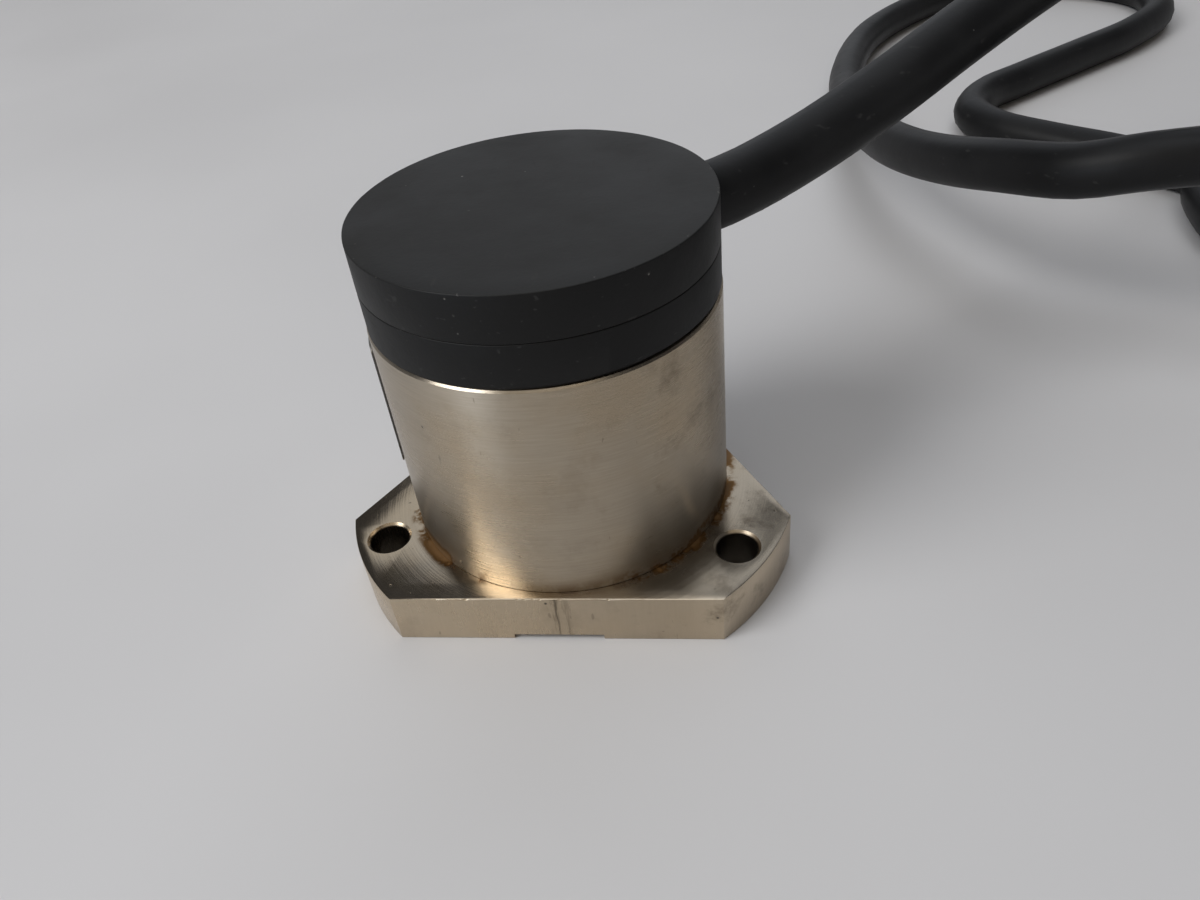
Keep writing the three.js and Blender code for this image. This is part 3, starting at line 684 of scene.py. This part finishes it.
def make_flange():
    plate = prism("flange", flange_outline(), 0, FLANGE_TOP, 0.12 * MM)
    register = lathe("register", [
        (0, 2), (REGISTER_RADIUS, 2), (REGISTER_RADIUS, 6.8), (15.05, 6.8), (15.05, 7.9),
        (REGISTER_RADIUS, 7.9), (REGISTER_RADIUS, REGISTER_TOP, 0.2), (SPIGOT_RADIUS, REGISTER_TOP),
        (SPIGOT_RADIUS, SPIGOT_TOP, 0.2), (0, SPIGOT_TOP),
    ])
    bore = lathe("bore", [
        (0, -1), (SEAL_POCKET + 0.4, -1), (SEAL_POCKET + 0.4, 0), (SEAL_POCKET, 0.4),
        (SEAL_POCKET, SEAL_SHOULDER), (7, SEAL_SHOULDER), (7, SEAT_BOTTOM), (SEAT_RADIUS, SEAT_BOTTOM),
        (SEAT_RADIUS, 20.75), (11.3, 20.75), (11.3, 21.85), (SEAT_RADIUS, 21.85),
        (SEAT_RADIUS, SPIGOT_TOP + 1), (0, SPIGOT_TOP + 1),
    ])
    groove = prism("groove", rectangle(GROOVE_WIDTH, 3 * FLANGE_RADIUS, 0.01 * MM, 1), -MM, GROOVE_DEPTH)
    top = FLANGE_TOP / MM
    wide = HOLE_RADIUS_MM + HOLE_CHAMFER
    holes = []
    for place in hole_places():
        hole = lathe("hole", [
            (0, -1), (wide, -1), (wide, 0), (HOLE_RADIUS_MM, HOLE_CHAMFER),
            (HOLE_RADIUS_MM, top - HOLE_CHAMFER), (wide, top), (wide, top + 1), (0, top + 1),
        ], 64)
        holes.append(moved(hole, Matrix.Translation(place)))
    nicks = []
    for _ in range(NICK_COUNT):
        size = random.uniform(0.10, 0.30)
        nick = lathe("nick", arc(0, 0, size, -90, 90, 6), 10)
        along = random.uniform(-14, 14)
        place = Vector((along * MM, -FRONT_FLAT - 0.45 * size * MM, FLANGE_TOP + 0.3 * size * MM))
        stretch = Matrix.Diagonal((random.uniform(1, 2.6), 1, 1, 1))
        nicks.append(moved(nick, Matrix.Translation(place) @ stretch))
    combined(plate, [register], "UNION")
    cut(plate, bore, groove, *holes, *nicks)
    on_axis(plate)
    plate.name = "flange_turned"
    two_finishes(plate, nickel_face, nickel_edge, "nickel_steel", "mounting_flange")


def make_sleeve():
    radius, low, high = BODY_RADIUS / MM, sleeve_low.z / MM, sleeve_high.z / MM
    sleeve = lathe("sleeve", [
        (radius, low, 0.08), (radius, high - 0.2, 0.04), (radius - 0.2, high, 0.04),
        (16, high, 0.1), (16, low, 0.1),
    ], 192)
    fixed(sleeve, "nickel_steel", nickel_side, "body_sleeve")


def cable_channel():
    """The round hole that the cable leaves the cap through."""
    return moved(rod(8, 22, CABLE_HOLE, 72), OUTLET)


def uneven(radius, height, angle):
    """A little moulding unevenness, and a foot that stands off at the right."""
    wave = sin(7 * angle + 900 * height) + 0.6 * sin(19 * angle + 1.3)
    off = 0.5 + 0.5 * cos(angle - radians(-15))
    foot = (height < sleeve_high.z + 0.35 * MM) * 0.3 * MM * off ** 2
    return radius + (0.012 * MM * wave - foot) * (radius > 16 * MM)


def make_cap():
    low, high = [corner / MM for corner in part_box("cap_lower_ring")]
    seam, top = [corner.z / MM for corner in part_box("cap_upper_disc")]
    radius = (high.x - low.x) / 2
    foot = (sleeve_high.z + SEAT) / MM
    rim = seam - SEAT / MM
    lip, plug_in, wall = 14.9, 15.8, 15.2
    lower = lathe("cap_lower", [
        (8, low.z), (plug_in, low.z), (plug_in, foot), (radius, foot, 0.1), (radius, foot + 0.4),
        (radius, rim, 0.1), (lip, rim), (lip, high.z, 0.15), (lip - 0.9, high.z, 0.15),
        (lip - 0.9, low.z + 1.5), (8, low.z + 1.5),
    ], 192, uneven)
    rings = [(radius * k / 8, top) for k in range(7, 0, -1)]
    upper = lathe("cap_upper", [
        (0, top - 1), (wall, top - 1), (wall, seam), (radius, seam, 0.1), (radius, top, 0.14),
        *rings, (0, top),
    ], 192, uneven)
    for made, node in ((lower, "cap_lower_ring"), (upper, "cap_upper_disc")):
        cut(made, cable_channel())
        two_finishes(on_axis(made), cap_face, cap_side_shaded, "black_cap", node)


make_flange()
make_sleeve()
make_cap()

# ---- name label ----
LABEL_INNER = 17.55 * MM
LABEL_OUTER = 17.70 * MM
LABEL_FROM = radians(112)
LABEL_TO = radians(204)
LABEL_MIDDLE = (LABEL_FROM + LABEL_TO) / 2
LABEL_WIDTH = LABEL_OUTER * (LABEL_TO - LABEL_FROM)
LABEL_CORNER = 1.3 * MM
label_low, label_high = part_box("name_label")
LABEL_HEIGHT = label_high.z - label_low.z


def label_foil(name):
    """Brushed silver foil with a printed frame and rules, and no lettering."""
    f = Finish(name, Metallic=0.85)
    across = f.math("ABSOLUTE", f.times(f.azimuth(LABEL_MIDDLE), LABEL_OUTER))
    up = f.minus(f.split("Z"), (label_low.z + label_high.z) / 2)
    from_side = f.minus(across, LABEL_WIDTH / 2 - 1.0 * MM)
    from_end = f.minus(f.math("ABSOLUTE", up), LABEL_HEIGHT / 2 - 1.0 * MM)
    frame_line = f.math("ABSOLUTE", f.math("MAXIMUM", from_side, from_end))
    ink = f.fall(frame_line, 0.11 * MM, 0.16 * MM)
    inside = f.fall(from_side, -0.9 * MM, -0.8 * MM)
    for level in (-3.2 * MM, -0.2 * MM, 2.8 * MM):
        rule = f.fall(f.apart(up, level), 0.07 * MM, 0.1 * MM)
        ink = f.math("MAXIMUM", ink, f.times(rule, inside))
    clouds = f.noise(160, 4, 0.6)
    silver = f.mix(f.spread(clouds), (0.66, 0.65, 0.62), (0.55, 0.54, 0.51))
    worn = f.span(f.noise(420, 4, 0.7), 0.36, 0.5)
    colour = f.mix(f.times(ink, worn), silver, (0.03, 0.03, 0.035))
    edge = f.span(f.math("MAXIMUM", from_side, from_end), 0.5 * MM, 0.85 * MM)
    colour = f.tint(colour, edge, 0.85, (0.04, 0.037, 0.034))
    lines = f.noise((150, 150, 5200), 3, 0.7)
    roughness = f.span(f.plus(lines, f.times(ink, 0.4)), 0.3, 0.9, 0.26, 0.5)
    return f.done(colour, roughness, f.bump((lines, 0.008 * MM)))


def make_label():
    """A thin plate with round corners, bent round the body, with a slightly ragged edge."""
    half = LABEL_WIDTH / 2
    ends = [half - LABEL_CORNER * (1 - sin(radians(15 * k))) for k in range(7)]
    middle = [half * 0.9 * k / 20 for k in range(20)]
    steps = [*[-s for s in reversed(ends)], *[-s for s in reversed(middle[1:])], *middle, *ends]
    rows = 48

    def build(bm):
        grids = []
        for radius in (LABEL_INNER, LABEL_OUTER):
            grid = []
            for s in steps:
                over = abs(s) - (half - LABEL_CORNER)
                share = min(1.0, max(0.0, over / LABEL_CORNER))
                inset = LABEL_CORNER * (1 - sqrt(1 - share * share))
                column = []
                for k in range(rows + 1):
                    z = label_low.z + inset + (LABEL_HEIGHT - 2 * inset) * k / rows
                    ragged = 0.05 * MM * sin(37.0 * k) * (abs(s) >= ends[-1])
                    angle = LABEL_MIDDLE + (s + ragged) / LABEL_OUTER
                    column.append(bm.verts.new((radius * cos(angle), radius * sin(angle), z)))
                grid.append(column)
            grids.append(grid)
        inner, outer = grids
        for grid in grids:
            for a, b in zip(grid, grid[1:]):
                for k in range(rows):
                    bm.faces.new((a[k], a[k + 1], b[k + 1], b[k]))
        for i in (0, len(steps) - 1):
            for k in range(rows):
                bm.faces.new((inner[i][k], inner[i][k + 1], outer[i][k + 1], outer[i][k]))
        for i in range(len(steps) - 1):
            for k in (0, rows):
                bm.faces.new((inner[i][k], inner[i + 1][k], outer[i + 1][k], outer[i][k]))

    label = on_axis(new_object("label", build))
    piece(label, "housing", "label_foil", label_foil("label_foil"), "name_label")


make_label()

# ---- rotor and seals ----
def turned(name, node, body, slot, finish, profile, segments=96):
    """A turned piece on the shaft axis. Its profile is in millimetres."""
    piece(on_axis(lathe(name, profile, segments)), body, slot, finish, node)


def thread(radius, height, angle):
    """The screw's M3 thread, cut into its shank."""
    on_shank = 1.4 * MM < radius < 1.6 * MM and 9.4 * MM < height < 19 * MM
    phase = (height / (0.5 * MM) - angle / TURN) % 1
    return radius - 0.28 * MM * abs(2 * phase - 1) * on_shank


def make_screw():
    shank = [(1.5, 9.4 + 0.1 * k) for k in range(97)]
    screw = lathe("screw", [
        (0, 9), (1.1, 9), *shank, (1.5, 20.5), (2.75, 20.5, 0.1), (2.75, 23.5, 0.25), (0, 23.5),
    ], 36, thread)
    cut(screw, rod(21.9, 25, 1.45, 6))
    piece(on_axis(screw), "rotor", "spring_steel", dark_steel, "shaft_screw")


def make_shaft():
    turned("shaft", "hollow_shaft", "rotor", "shaft_steel", shaft_steel, [
        (4.4, 0.5), (5.6, 0.5), (6, 0.9), (6, 20), (7.4, 20, 0.15), (7.4, 24.2, 0.2), (5, 24.2),
        (5, 26, 0.2), (3.3, 26, 0.15), (3.3, 20.4), (1.8, 20.4), (1.8, 17), (4, 17), (4, 0.9),
    ])
    make_screw()
    turned("seal", "shaft_seal", "housing", "rubber", rubber, [
        (9.0, 0.6, 0.15), (9.0, 2.9, 0.2), (7.2, 2.9, 0.2), (6.3, 2.2, 0.1), (6.3, 1.8, 0.08),
        (6.9, 0.6, 0.1), (7.3, 0.6), (7.45, 0.85), (7.8, 0.85), (7.95, 0.6),
    ])
    turned("ring_seal", "sleeve_o_ring", "housing", "rubber", rubber, arc(15.46, 7.35, 0.26, 0, 345, 23))
    turned("clamp_ring", "disc_clamp_ring", "rotor", "shaft_steel", shaft_steel, [
        (5.2, 25.3), (8, 25.3, 0.1), (8, 25.9, 0.15), (5.2, 25.9, 0.1),
    ])


# ---- bearings ----
BALL_CIRCLE = 8.25
BALL_RADIUS = 1.15
GROOVE_RADIUS = 1.27
SHOULDER = 0.85
BALL_COUNT = 7


def make_bearing(prefix, middle):
    def level(points):
        return [(point[0], point[1] + middle, *point[2:]) for point in points]

    node = f"{prefix}_bearing_outer_ring"
    turned(f"{prefix}_outer", node, "housing", "bearing_steel", bearing_steel, level([
        (10.45, -2.5, 0.25), (10.45, 2.5, 0.25), (BALL_CIRCLE + SHOULDER, 2.5, 0.1),
        *arc(BALL_CIRCLE, 0, GROOVE_RADIUS, 48, -48, 12), (BALL_CIRCLE + SHOULDER, -2.5, 0.1),
    ]))
    node = f"{prefix}_bearing_inner_ring"
    turned(f"{prefix}_inner", node, "rotor", "bearing_steel", bearing_steel, level([
        (BALL_CIRCLE - SHOULDER, -2.5, 0.1), *arc(BALL_CIRCLE, 0, GROOVE_RADIUS, 228, 132, 12),
        (BALL_CIRCLE - SHOULDER, 2.5, 0.1), (6.15, 2.5, 0.2), (6.15, -2.5, 0.2),
    ]))
    cage = lathe("cage", level([
        (7.9, -1.8, 0.1), (8.6, -1.8, 0.1), (8.6, 1.8, 0.1), (7.9, 1.8, 0.1),
    ]), 126)
    pockets = []
    for i in range(BALL_COUNT):
        turn = Matrix.Rotation(TURN * i / BALL_COUNT, 4, "Z") @ TO_X
        place = Matrix.Translation((0, 0, middle * MM)) @ turn
        pockets.append(moved(rod(6.5, 10, 1.35), place))
    cut(cage, *pockets)
    cage.name = f"{prefix}_cage_ring"
    piece(on_axis(cage), f"{prefix}_cage", "cage_brass", brass, f"{prefix}_bearing_cage")
    for i in range(BALL_COUNT):
        node = f"{prefix}_ball_{i + 1}"
        low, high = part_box(node)
        ball = lathe(f"{prefix}_bead_{i + 1}", arc(0, 0, BALL_RADIUS, -90, 90, 16), 32)
        moved(ball, Matrix.Translation((low + high) / 2))
        piece(ball, f"{prefix}_cage", "bearing_steel", bearing_steel, node)


def make_spring_parts():
    turned("spacer", "bearing_spacer", "housing", "shaft_steel", shaft_steel, [
        (9.5, 9.9, 0.1), (10.45, 9.9, 0.1), (10.45, 14.5, 0.1), (9.5, 14.5, 0.1),
    ])
    washer = lathe("wave_washer", [
        (8.9, 20.05, 0.05), (10.3, 20.05, 0.05), (10.3, 20.3, 0.05), (8.9, 20.3, 0.05),
    ])
    for vertex in washer.data.vertices:
        vertex.co.z += 0.13 * MM * (1 + sin(3 * atan2(vertex.co.y, vertex.co.x)))
    fixed(washer, "spring_steel", dark_steel, "preload_washer")
    outline = scaled([*arc(0, 0, 11.1, 14, 346, 72), *arc(0, 0, 9.5, 346, 14, 72)])
    clip = prism("circlip", outline, 20.95 * MM, 21.65 * MM, 0.06 * MM)
    eyes, holes = [], []
    for angle in (19, -19):
        c, s = cos(radians(angle)), sin(radians(angle))
        eyes.append(peg(9.4 * c, 9.4 * s, 20.95, 21.65, 1.1))
        holes.append(peg(9.2 * c, 9.2 * s, 20, 23, 0.45))
    combined(clip, eyes, "UNION")
    cut(clip, *holes)
    fixed(clip, "spring_steel", dark_steel, "retaining_ring")


make_shaft()
make_bearing("front", 7.2)
make_bearing("rear", 17.2)
make_spring_parts()

# ---- scanning unit and electronics ----
POST_PLACES = arc(0, 0, 14, 30, 270, 2)
SCAN_RADIUS = 10.4
CODE_LINES = 256


def coded_glass(name):
    """Clear glass with a fine chrome track near its rim."""
    f = Finish(name, Transmission_Weight=0.85, IOR=1.5)
    radius = f.radius(AXIS)
    lines = f.span(f.math("SINE", f.times(f.azimuth(0), CODE_LINES)), -0.1, 0.1)
    from_track = f.apart(radius, SCAN_RADIUS * MM)
    track = f.times(lines, f.fall(from_track, 0.95 * MM, 1.0 * MM))
    hub = f.fall(radius, 8.4 * MM, 8.5 * MM)
    chrome = f.math("MAXIMUM", track, hub)
    colour = f.mix(chrome, (0.80, 0.88, 0.86), (0.28, 0.28, 0.29))
    dust = f.noise(700, 4, 0.7)
    return f.done(colour, f.spread(dust, 0.03, 0.09), f.bump((dust, 0.001 * MM)))


def clear_plastic(name):
    f = Finish(name, Transmission_Weight=0.7, IOR=1.5)
    cloud = f.noise(500, 3, 0.6)
    colour = f.mix(f.spread(cloud), (0.82, 0.85, 0.88), (0.74, 0.78, 0.82))
    return f.done(colour, f.spread(cloud, 0.05, 0.14), f.bump((cloud, 0.004 * MM)))


def board_laminate(name):
    """Green solder mask with copper traces under it and tinned vias."""
    f = Finish(name, Specular_IOR_Level=0.5)
    lanes = f.noise((900, 220, 0), 0, 0.5)
    traces = f.fall(f.apart(lanes, 0.5), 0.015, 0.03)
    weave = f.noise(1200, 2, 0.5)
    mask = f.mix(f.spread(weave), (0.012, 0.075, 0.032), (0.018, 0.095, 0.042))
    colour = f.mix(f.times(traces, 0.7), mask, (0.03, 0.17, 0.07))
    vias = f.fall(f.cells(420), 0.09, 0.12)
    colour = f.mix(vias, colour, (0.55, 0.54, 0.5))
    normal = f.bump((f.plus(traces, vias), 0.02 * MM))
    return f.done(colour, f.spread(weave, 0.28, 0.42), normal)


def make_scanner():
    turned("coded_disc", "code_disc", "rotor", "disc_glass", coded_glass("coded_glass"), [
        (5.2, 24.35, 0.05), (12, 24.35, 0.08), (12, 25.05, 0.08), (5.2, 25.05, 0.05),
    ], 160)
    base = lathe("carrier", [
        (8.2, 22.2, 0.15), (15.4, 22.2, 0.15), (15.4, 23.7, 0.2), (8.2, 23.7, 0.2),
    ])
    combined(base, [peg(x, y, 23, 26.95, 1.35) for x, y in POST_PLACES], "UNION")
    holes = [peg(x, y, 24.4, 28, 0.85) for x, y in POST_PLACES]
    cut(base, *holes, peg(0, -SCAN_RADIUS, 22, 25, 1.8))
    moulded = plain_plastic("carrier_plastic", (0.035, 0.038, 0.042), (0.05, 0.053, 0.058), 0.5, 0.65)
    fixed(base, "carrier_plastic", moulded, "optics_carrier")
    lamp = lathe("lamp", [
        (0, 22.3), (1.5, 22.3), (1.5, 22.75, 0.1), (1.25, 22.8), *arc(0, 22.95, 1.2, 5, 90, 10),
    ], 48)
    fixed(shifted(lamp, 0, -SCAN_RADIUS), "led_lens", clear_plastic("lamp_lens"), "led_emitter")
    slits = clear_plastic("slit_glass")
    plate = on_axis(block("slit_plate", 6, 3.4, 25.25, 25.7, 0, -SCAN_RADIUS - 0.3, 0.06))
    piece(plate, "housing", "disc_glass", slits, "reticle_plate")
    sensor = on_axis(block("sensor", 6.4, 4.2, 26, 26.9, 0, -SCAN_RADIUS - 0.2, 0.1))
    piece(sensor, "housing", "chip_epoxy", epoxy, "photo_sensor")


def make_board():
    plate = lathe("board", [(0, 27), (15.3, 27, 0.08), (15.3, 28.6, 0.08), (0, 28.6)])
    holes = [peg(x, y, 26, 30, 0.9) for x, y in POST_PLACES]
    cut(plate, *holes, rod(26, 30, 3, 64))
    fixed(plate, "circuit_board", board_laminate("board_laminate"), "main_board")
    for i, (x, y) in enumerate(POST_PLACES):
        screw = lathe(f"small_screw_{i + 1}", [
            (0, 25), (0.5, 25), (0.65, 25.2), (0.65, 28.7), (1.25, 28.7, 0.06), (1.2, 29.2),
            *arc(0, 26.72, 2.76, 65, 90, 6),
        ], 40)
        slot = prism("slot", rectangle(3 * MM, 0.3 * MM, 0.01 * MM, 1), 29.2 * MM, 30 * MM)
        cut(screw, slot)
        fixed(shifted(screw, x, y), "bearing_steel", bearing_steel, f"board_screw_{i + 1}")
    header = block("header", 7, 2.8, 28.7, 31.7, 0, 4.9, 0.15)
    wells = [block("well", 1.1, 1.6, 30.6, 33, 2.4 - 1.6 * i, 4.9, 0.05) for i in range(4)]
    cut(header, *wells)
    fixed(header, "connector_plastic", nylon_white, "wire_header")
    driver = block("driver", 4, 5, 28.8, 29.6, -8.4, 1.5, 0.1)
    cut(driver, peg(-9.8, -0.4, 29.5, 30, 0.3))
    fixed(driver, "chip_epoxy", epoxy, "line_driver_chip")
    for side in (-1, 1):
        for i in range(4):
            x, y = -8.4 + 2.45 * side, 1.5 + 1.2 * (i - 1.5)
            name = f"driver_leg_{(side + 1) * 2 + i + 1}"
            fixed(block(name, 1.1, 0.42, 28.72, 28.95, x, y, 0.04), "bearing_steel", bearing_steel)


def make_wiring():
    def braid(radius, height, angle):
        weave = sin(14 * angle + 5200 * height) * sin(14 * angle - 5200 * height)
        return radius + 0.07 * MM * (weave - 1) * (radius > 2 * MM)

    sides = [(2.2, 7.4 + 0.1 * k) for k in range(51)]
    bundle = lathe("bundle", [(0, 7.4), *sides, (0, 12.4)], 112, braid)
    fixed(moved(bundle, OUTLET), "shield_foil", plated, "inner_bundle")
    low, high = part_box("shield_clamp")
    clamp = block("cable_clamp", 3, 9, low.z / MM, high.z / MM, 10.2, 0, 0.2)
    cut(clamp, moved(rod(7, 14, 2.4, 64), Matrix.Translation((0, 0, CABLE_HEIGHT)) @ TO_X))
    moved(clamp, Matrix.Rotation(CABLE_AZIMUTH, 4, "Z"))
    fixed(clamp, "bearing_steel", plated, "shield_clamp")
    out = Vector((cos(CABLE_AZIMUTH), sin(CABLE_AZIMUTH), 0))
    side = Vector((-out.y, out.x, 0))
    tones = (("red", (0.42, 0.04, 0.025)), ("blue", (0.025, 0.09, 0.38)),
             ("white", (0.75, 0.73, 0.67)), ("green", (0.045, 0.26, 0.07)))
    for i, (tone, colour) in enumerate(tones):
        aside = 0.45 if i % 2 else -0.45
        lift = Vector((0, 0, CABLE_HEIGHT / MM + (i - 1.5) * 0.85))
        end = Vector((2.4 - 1.6 * i, 4.9 + aside, 0))
        points = [
            7.1 * out + aside * side + lift, 5.8 * out + aside * side + lift,
            end + Vector((0.7, 0, lift.z - 0.5)), end + Vector((0, 0, 33)), end + Vector((0, 0, 32)),
        ]
        line = smooth_line([AXIS + point * MM for point in points], 0.4 * MM)
        dark = tuple(0.8 * c for c in colour)
        skin = plain_plastic(f"core_{tone}", colour, dark, 0.3, 0.42)
        wire = round_line(f"wire_{tone}", line, CORE_DIAMETER)
        piece(wire, "housing", f"core_{tone}", skin, f"core_{i + 1}")


CORE_DIAMETER = 0.84 * MM
epoxy = plain_plastic("chip_epoxy", (0.013, 0.013, 0.014), (0.022, 0.022, 0.023), 0.42, 0.56)
make_scanner()
make_board()
make_wiring()

# ---- cable ties ----
TIE_ANGLES = (25, 130)
TIE_WIDTH = 4 * MM
TIE_STRAP = 0.8 * MM
TIE_SLACK = 0.4 * MM
COIL_TOP = 22.2 * MM


def make_tie(name, node, angle):
    """A ribbed nylon strap round the bundle of turns, with its head on the outside."""
    half_strap = TIE_STRAP / 2
    left = COIL_INNER - CABLE_DIAMETER / 2 - TIE_SLACK - half_strap
    right = COIL_OUTER + CABLE_DIAMETER / 2 + TIE_SLACK + half_strap
    bottom = 0.1 * MM + half_strap
    top = COIL_TOP + TIE_SLACK + half_strap
    corner = 2.6 * MM
    middle = Vector(((left + right) / 2, (top + bottom) / 2))
    outline = [middle + Vector(point) for point in rectangle(right - left, top - bottom, corner, 8)]
    line = []
    for a, b in zip(outline, outline[1:] + outline[:1]):
        steps = max(1, round((b - a).length / (0.35 * MM)))
        line += [a.lerp(b, k / steps) for k in range(steps)]
    section = rectangle(TIE_STRAP, TIE_WIDTH, 0.2 * MM, 2)

    def build(bm):
        rings = []
        count = len(line)
        for i, point in enumerate(line):
            along = (line[(i + 1) % count] - line[i - 1]).normalized()
            normal = Vector((along.y, -along.x))
            ring = []
            for depth, across in section:
                rib = 0.12 * MM * (i % 2) * (depth < 0) * (abs(across) < 1.3 * MM)
                at = point + normal * (depth + rib)
                ring.append(bm.verts.new((at.x, across, at.y)))
            rings.append(ring)
        for a, b in zip(rings, rings[1:] + rings[:1]):
            for k in range(len(section)):
                m = (k + 1) % len(section)
                bm.faces.new((a[k], a[m], b[m], b[k]))

    tie = new_object(name, build)
    head_at = (COIL_OUTER + CABLE_DIAMETER / 2 + TIE_SLACK + TIE_STRAP) / MM + 1
    head = block("head", 3, 5.4, 8, 13.5, head_at, 0, 0.45)
    slot = block("slot", 1.1, 4.2, 7, 15, head_at + 0.35, 0, 0.05)
    cut(head, slot)
    end = block("end", 0.8, 3.9, 8.4, 15.6, head_at + 0.35, 0, 0.15)
    combined(head, [end], "UNION")
    combined(tie, [head], "UNION")
    moved(tie, Matrix.Translation(COIL_CENTRE) @ Matrix.Rotation(radians(angle), 4, "Z"))
    return piece(tie, "housing", "tie_nylon", nylon_black, node)


ties = [make_tie(f"tie_{i + 1}", f"coil_tie_{i + 1}", angle) for i, angle in enumerate(TIE_ANGLES)]

# ---- round connector ----
PLUG_PLACE = Matrix.Translation(PLUG_REAR) @ Matrix.Rotation(PLUG_HEADING, 4, "Z") @ TO_X


def hexagonal(radius, height, angle):
    """Six spanner flats on the widest part."""
    flat = 5.55 * MM / cos((angle + TURN / 12) % (TURN / 6) - TURN / 12)
    return min(radius, flat) if radius > 5.9 * MM and height > 2.9 * MM else radius


def knurled(radius, height, angle):
    """Rounded ribs on the grip of the nut."""
    on_grip = radius > 6.9 * MM
    return radius - 0.15 * MM * (1 + cos(24 * angle)) * on_grip


def make_plug():
    gland = lathe("gland_nut", [
        (0, 0), (4.0, 0, 0.3), (4.6, 0.5), (6.05, 2.6, 0.3), (6.1, 3.0), (6.1, 9.0),
        (5.6, 9.4, 0.1), (0, 9.4),
    ], 144, hexagonal)
    grooves = []
    for start in (12, 14, 16, 18, 20):
        for radius, step in ((6.6, 0), (6.3, 0.3), (6.3, 0.9), (6.6, 1.2)):
            grooves.append((radius, start + step, 0.1))
    body = lathe("plug_shell", [
        (0, 9.7), (6.1, 9.7), (6.6, 10.3, 0.2), *grooves, (6.6, 23.6, 0.2), (6.1, 24.1), (5.3, 24.1),
        (5.3, 36, 0.2), (4.4, 36, 0.2), (4.4, 28), (0, 28),
    ], 144)
    insert = lathe("pin_carrier", [(0, 28.3), (4.1, 28.3), (4.1, 30.3, 0.2), (0, 30.3)], 96)
    pins = []
    for i in range(5):
        turn = TURN * i / 5
        pin = lathe(f"pin_{i + 1}", [(0, 29), (0.5, 29), *arc(0, 34.5, 0.5, 0, 90, 6)], 32)
        place = Matrix.Translation((2.4 * MM * cos(turn), 2.4 * MM * sin(turn), 0))
        pins.append(piece(moved(pin, PLUG_PLACE @ place), "housing", "cage_brass", brass))
    nut = lathe("knurled_nut", [
        (5.6, 24.4), (6.5, 24.4, 0.15), (7.1, 25.2), (7.1, 35.0), (6.7, 35.4, 0.1), (6.7, 36.2, 0.1),
        (7.05, 36.6), (6.9, 37.2), (6.5, 37.4, 0.1), (5.6, 37.4, 0.1),
    ], 288, knurled)
    for made in (gland, body, insert, nut):
        moved(made, PLUG_PLACE)
    piece(gland, "housing", "plug_shell", plated, "plug_gland_nut")
    piece(body, "housing", "plug_shell", plated, "plug_body")
    piece(insert, "housing", "connector_plastic", nylon_black, "plug_insert")
    piece(nut, "plug_nut", "plug_shell", plated, "coupling_nut")
    return [gland, body, insert, nut, *pins]


plug_pieces = make_plug()

# ---- stage ----
LIGHT_DISTANCE = 1.0
BODY_MIDDLE = 0.02
ROOM_DARK = (0.05, 0.052, 0.058)
# Each glow: the azimuth and elevation of its middle, the cosines of the angles from there where it
# starts and where it is full, and its colour.
ROOM_LOW = (0, 90, 0.34, 0.16, (0.40, 0.40, 0.41))
ROOM_REAR = (90, 38, 0.87, 0.91, (0.70, 0.73, 0.78))
ROOM_FRONT = (262, 40, 0.72, 0.86, (0.40, 0.36, 0.30))
ROOM_ABOVE = (0, 90, 0.88, 0.985, (1.7, 1.75, 1.82))


def make_floor():
    floor = prism("floor", rectangle(6, 6, 0.1), -0.02, 0)
    f = Finish("table", Specular_IOR_Level=0.3)
    tone = f.noise(9, 3, 0.5)
    colour = f.mix(f.spread(tone), (0.61, 0.60, 0.60), (0.65, 0.64, 0.64))
    floor.data.materials.append(f.done(colour, f.spread(tone, 0.5, 0.6)))


def area_light(name, azimuth, elevation, size, power, colour):
    data = bpy.data.lights.new(name, "AREA")
    data.shape = "DISK"
    data.size = size
    data.energy = power
    data.color = colour
    light = placed(name, data)
    out = aimed(azimuth, elevation)
    light.location = AXIS + out * LIGHT_DISTANCE + Vector((0, 0, BODY_MIDDLE))
    light.rotation_mode = "QUATERNION"
    light.rotation_quaternion = (-out).to_track_quat("-Z", "Y")


def aimed(azimuth, elevation):
    a, e = radians(azimuth), radians(elevation)
    return Vector((cos(a) * cos(e), sin(a) * cos(e), sin(e)))


def make_world():
    """A soft studio: pale low down and overhead, with a dim band that two glows break."""
    world = bpy.data.worlds.new("room")
    bpy.context.scene.world = world
    n = Nodes(world, "Generated")
    colour = ROOM_DARK
    for azimuth, elevation, low, high, tone in (ROOM_LOW, ROOM_REAR, ROOM_FRONT, ROOM_ABOVE):
        share = n.span(n.dot(n.place, aimed(azimuth, elevation)), low, high)
        colour = n.mix(share, colour, tone)
    n.feed(n.tree.nodes["Background"].inputs["Color"], colour)


make_floor()
make_world()
area_light("window", 209, 46, 0.5, 4.9, (0.98, 0.985, 0.99))
area_light("window_foot", 231, 15, 0.36, 1.4, (0.78, 0.9, 1.08))
bpy.context.scene.view_settings.view_transform = "Standard"

bpy.context.view_layer.update()
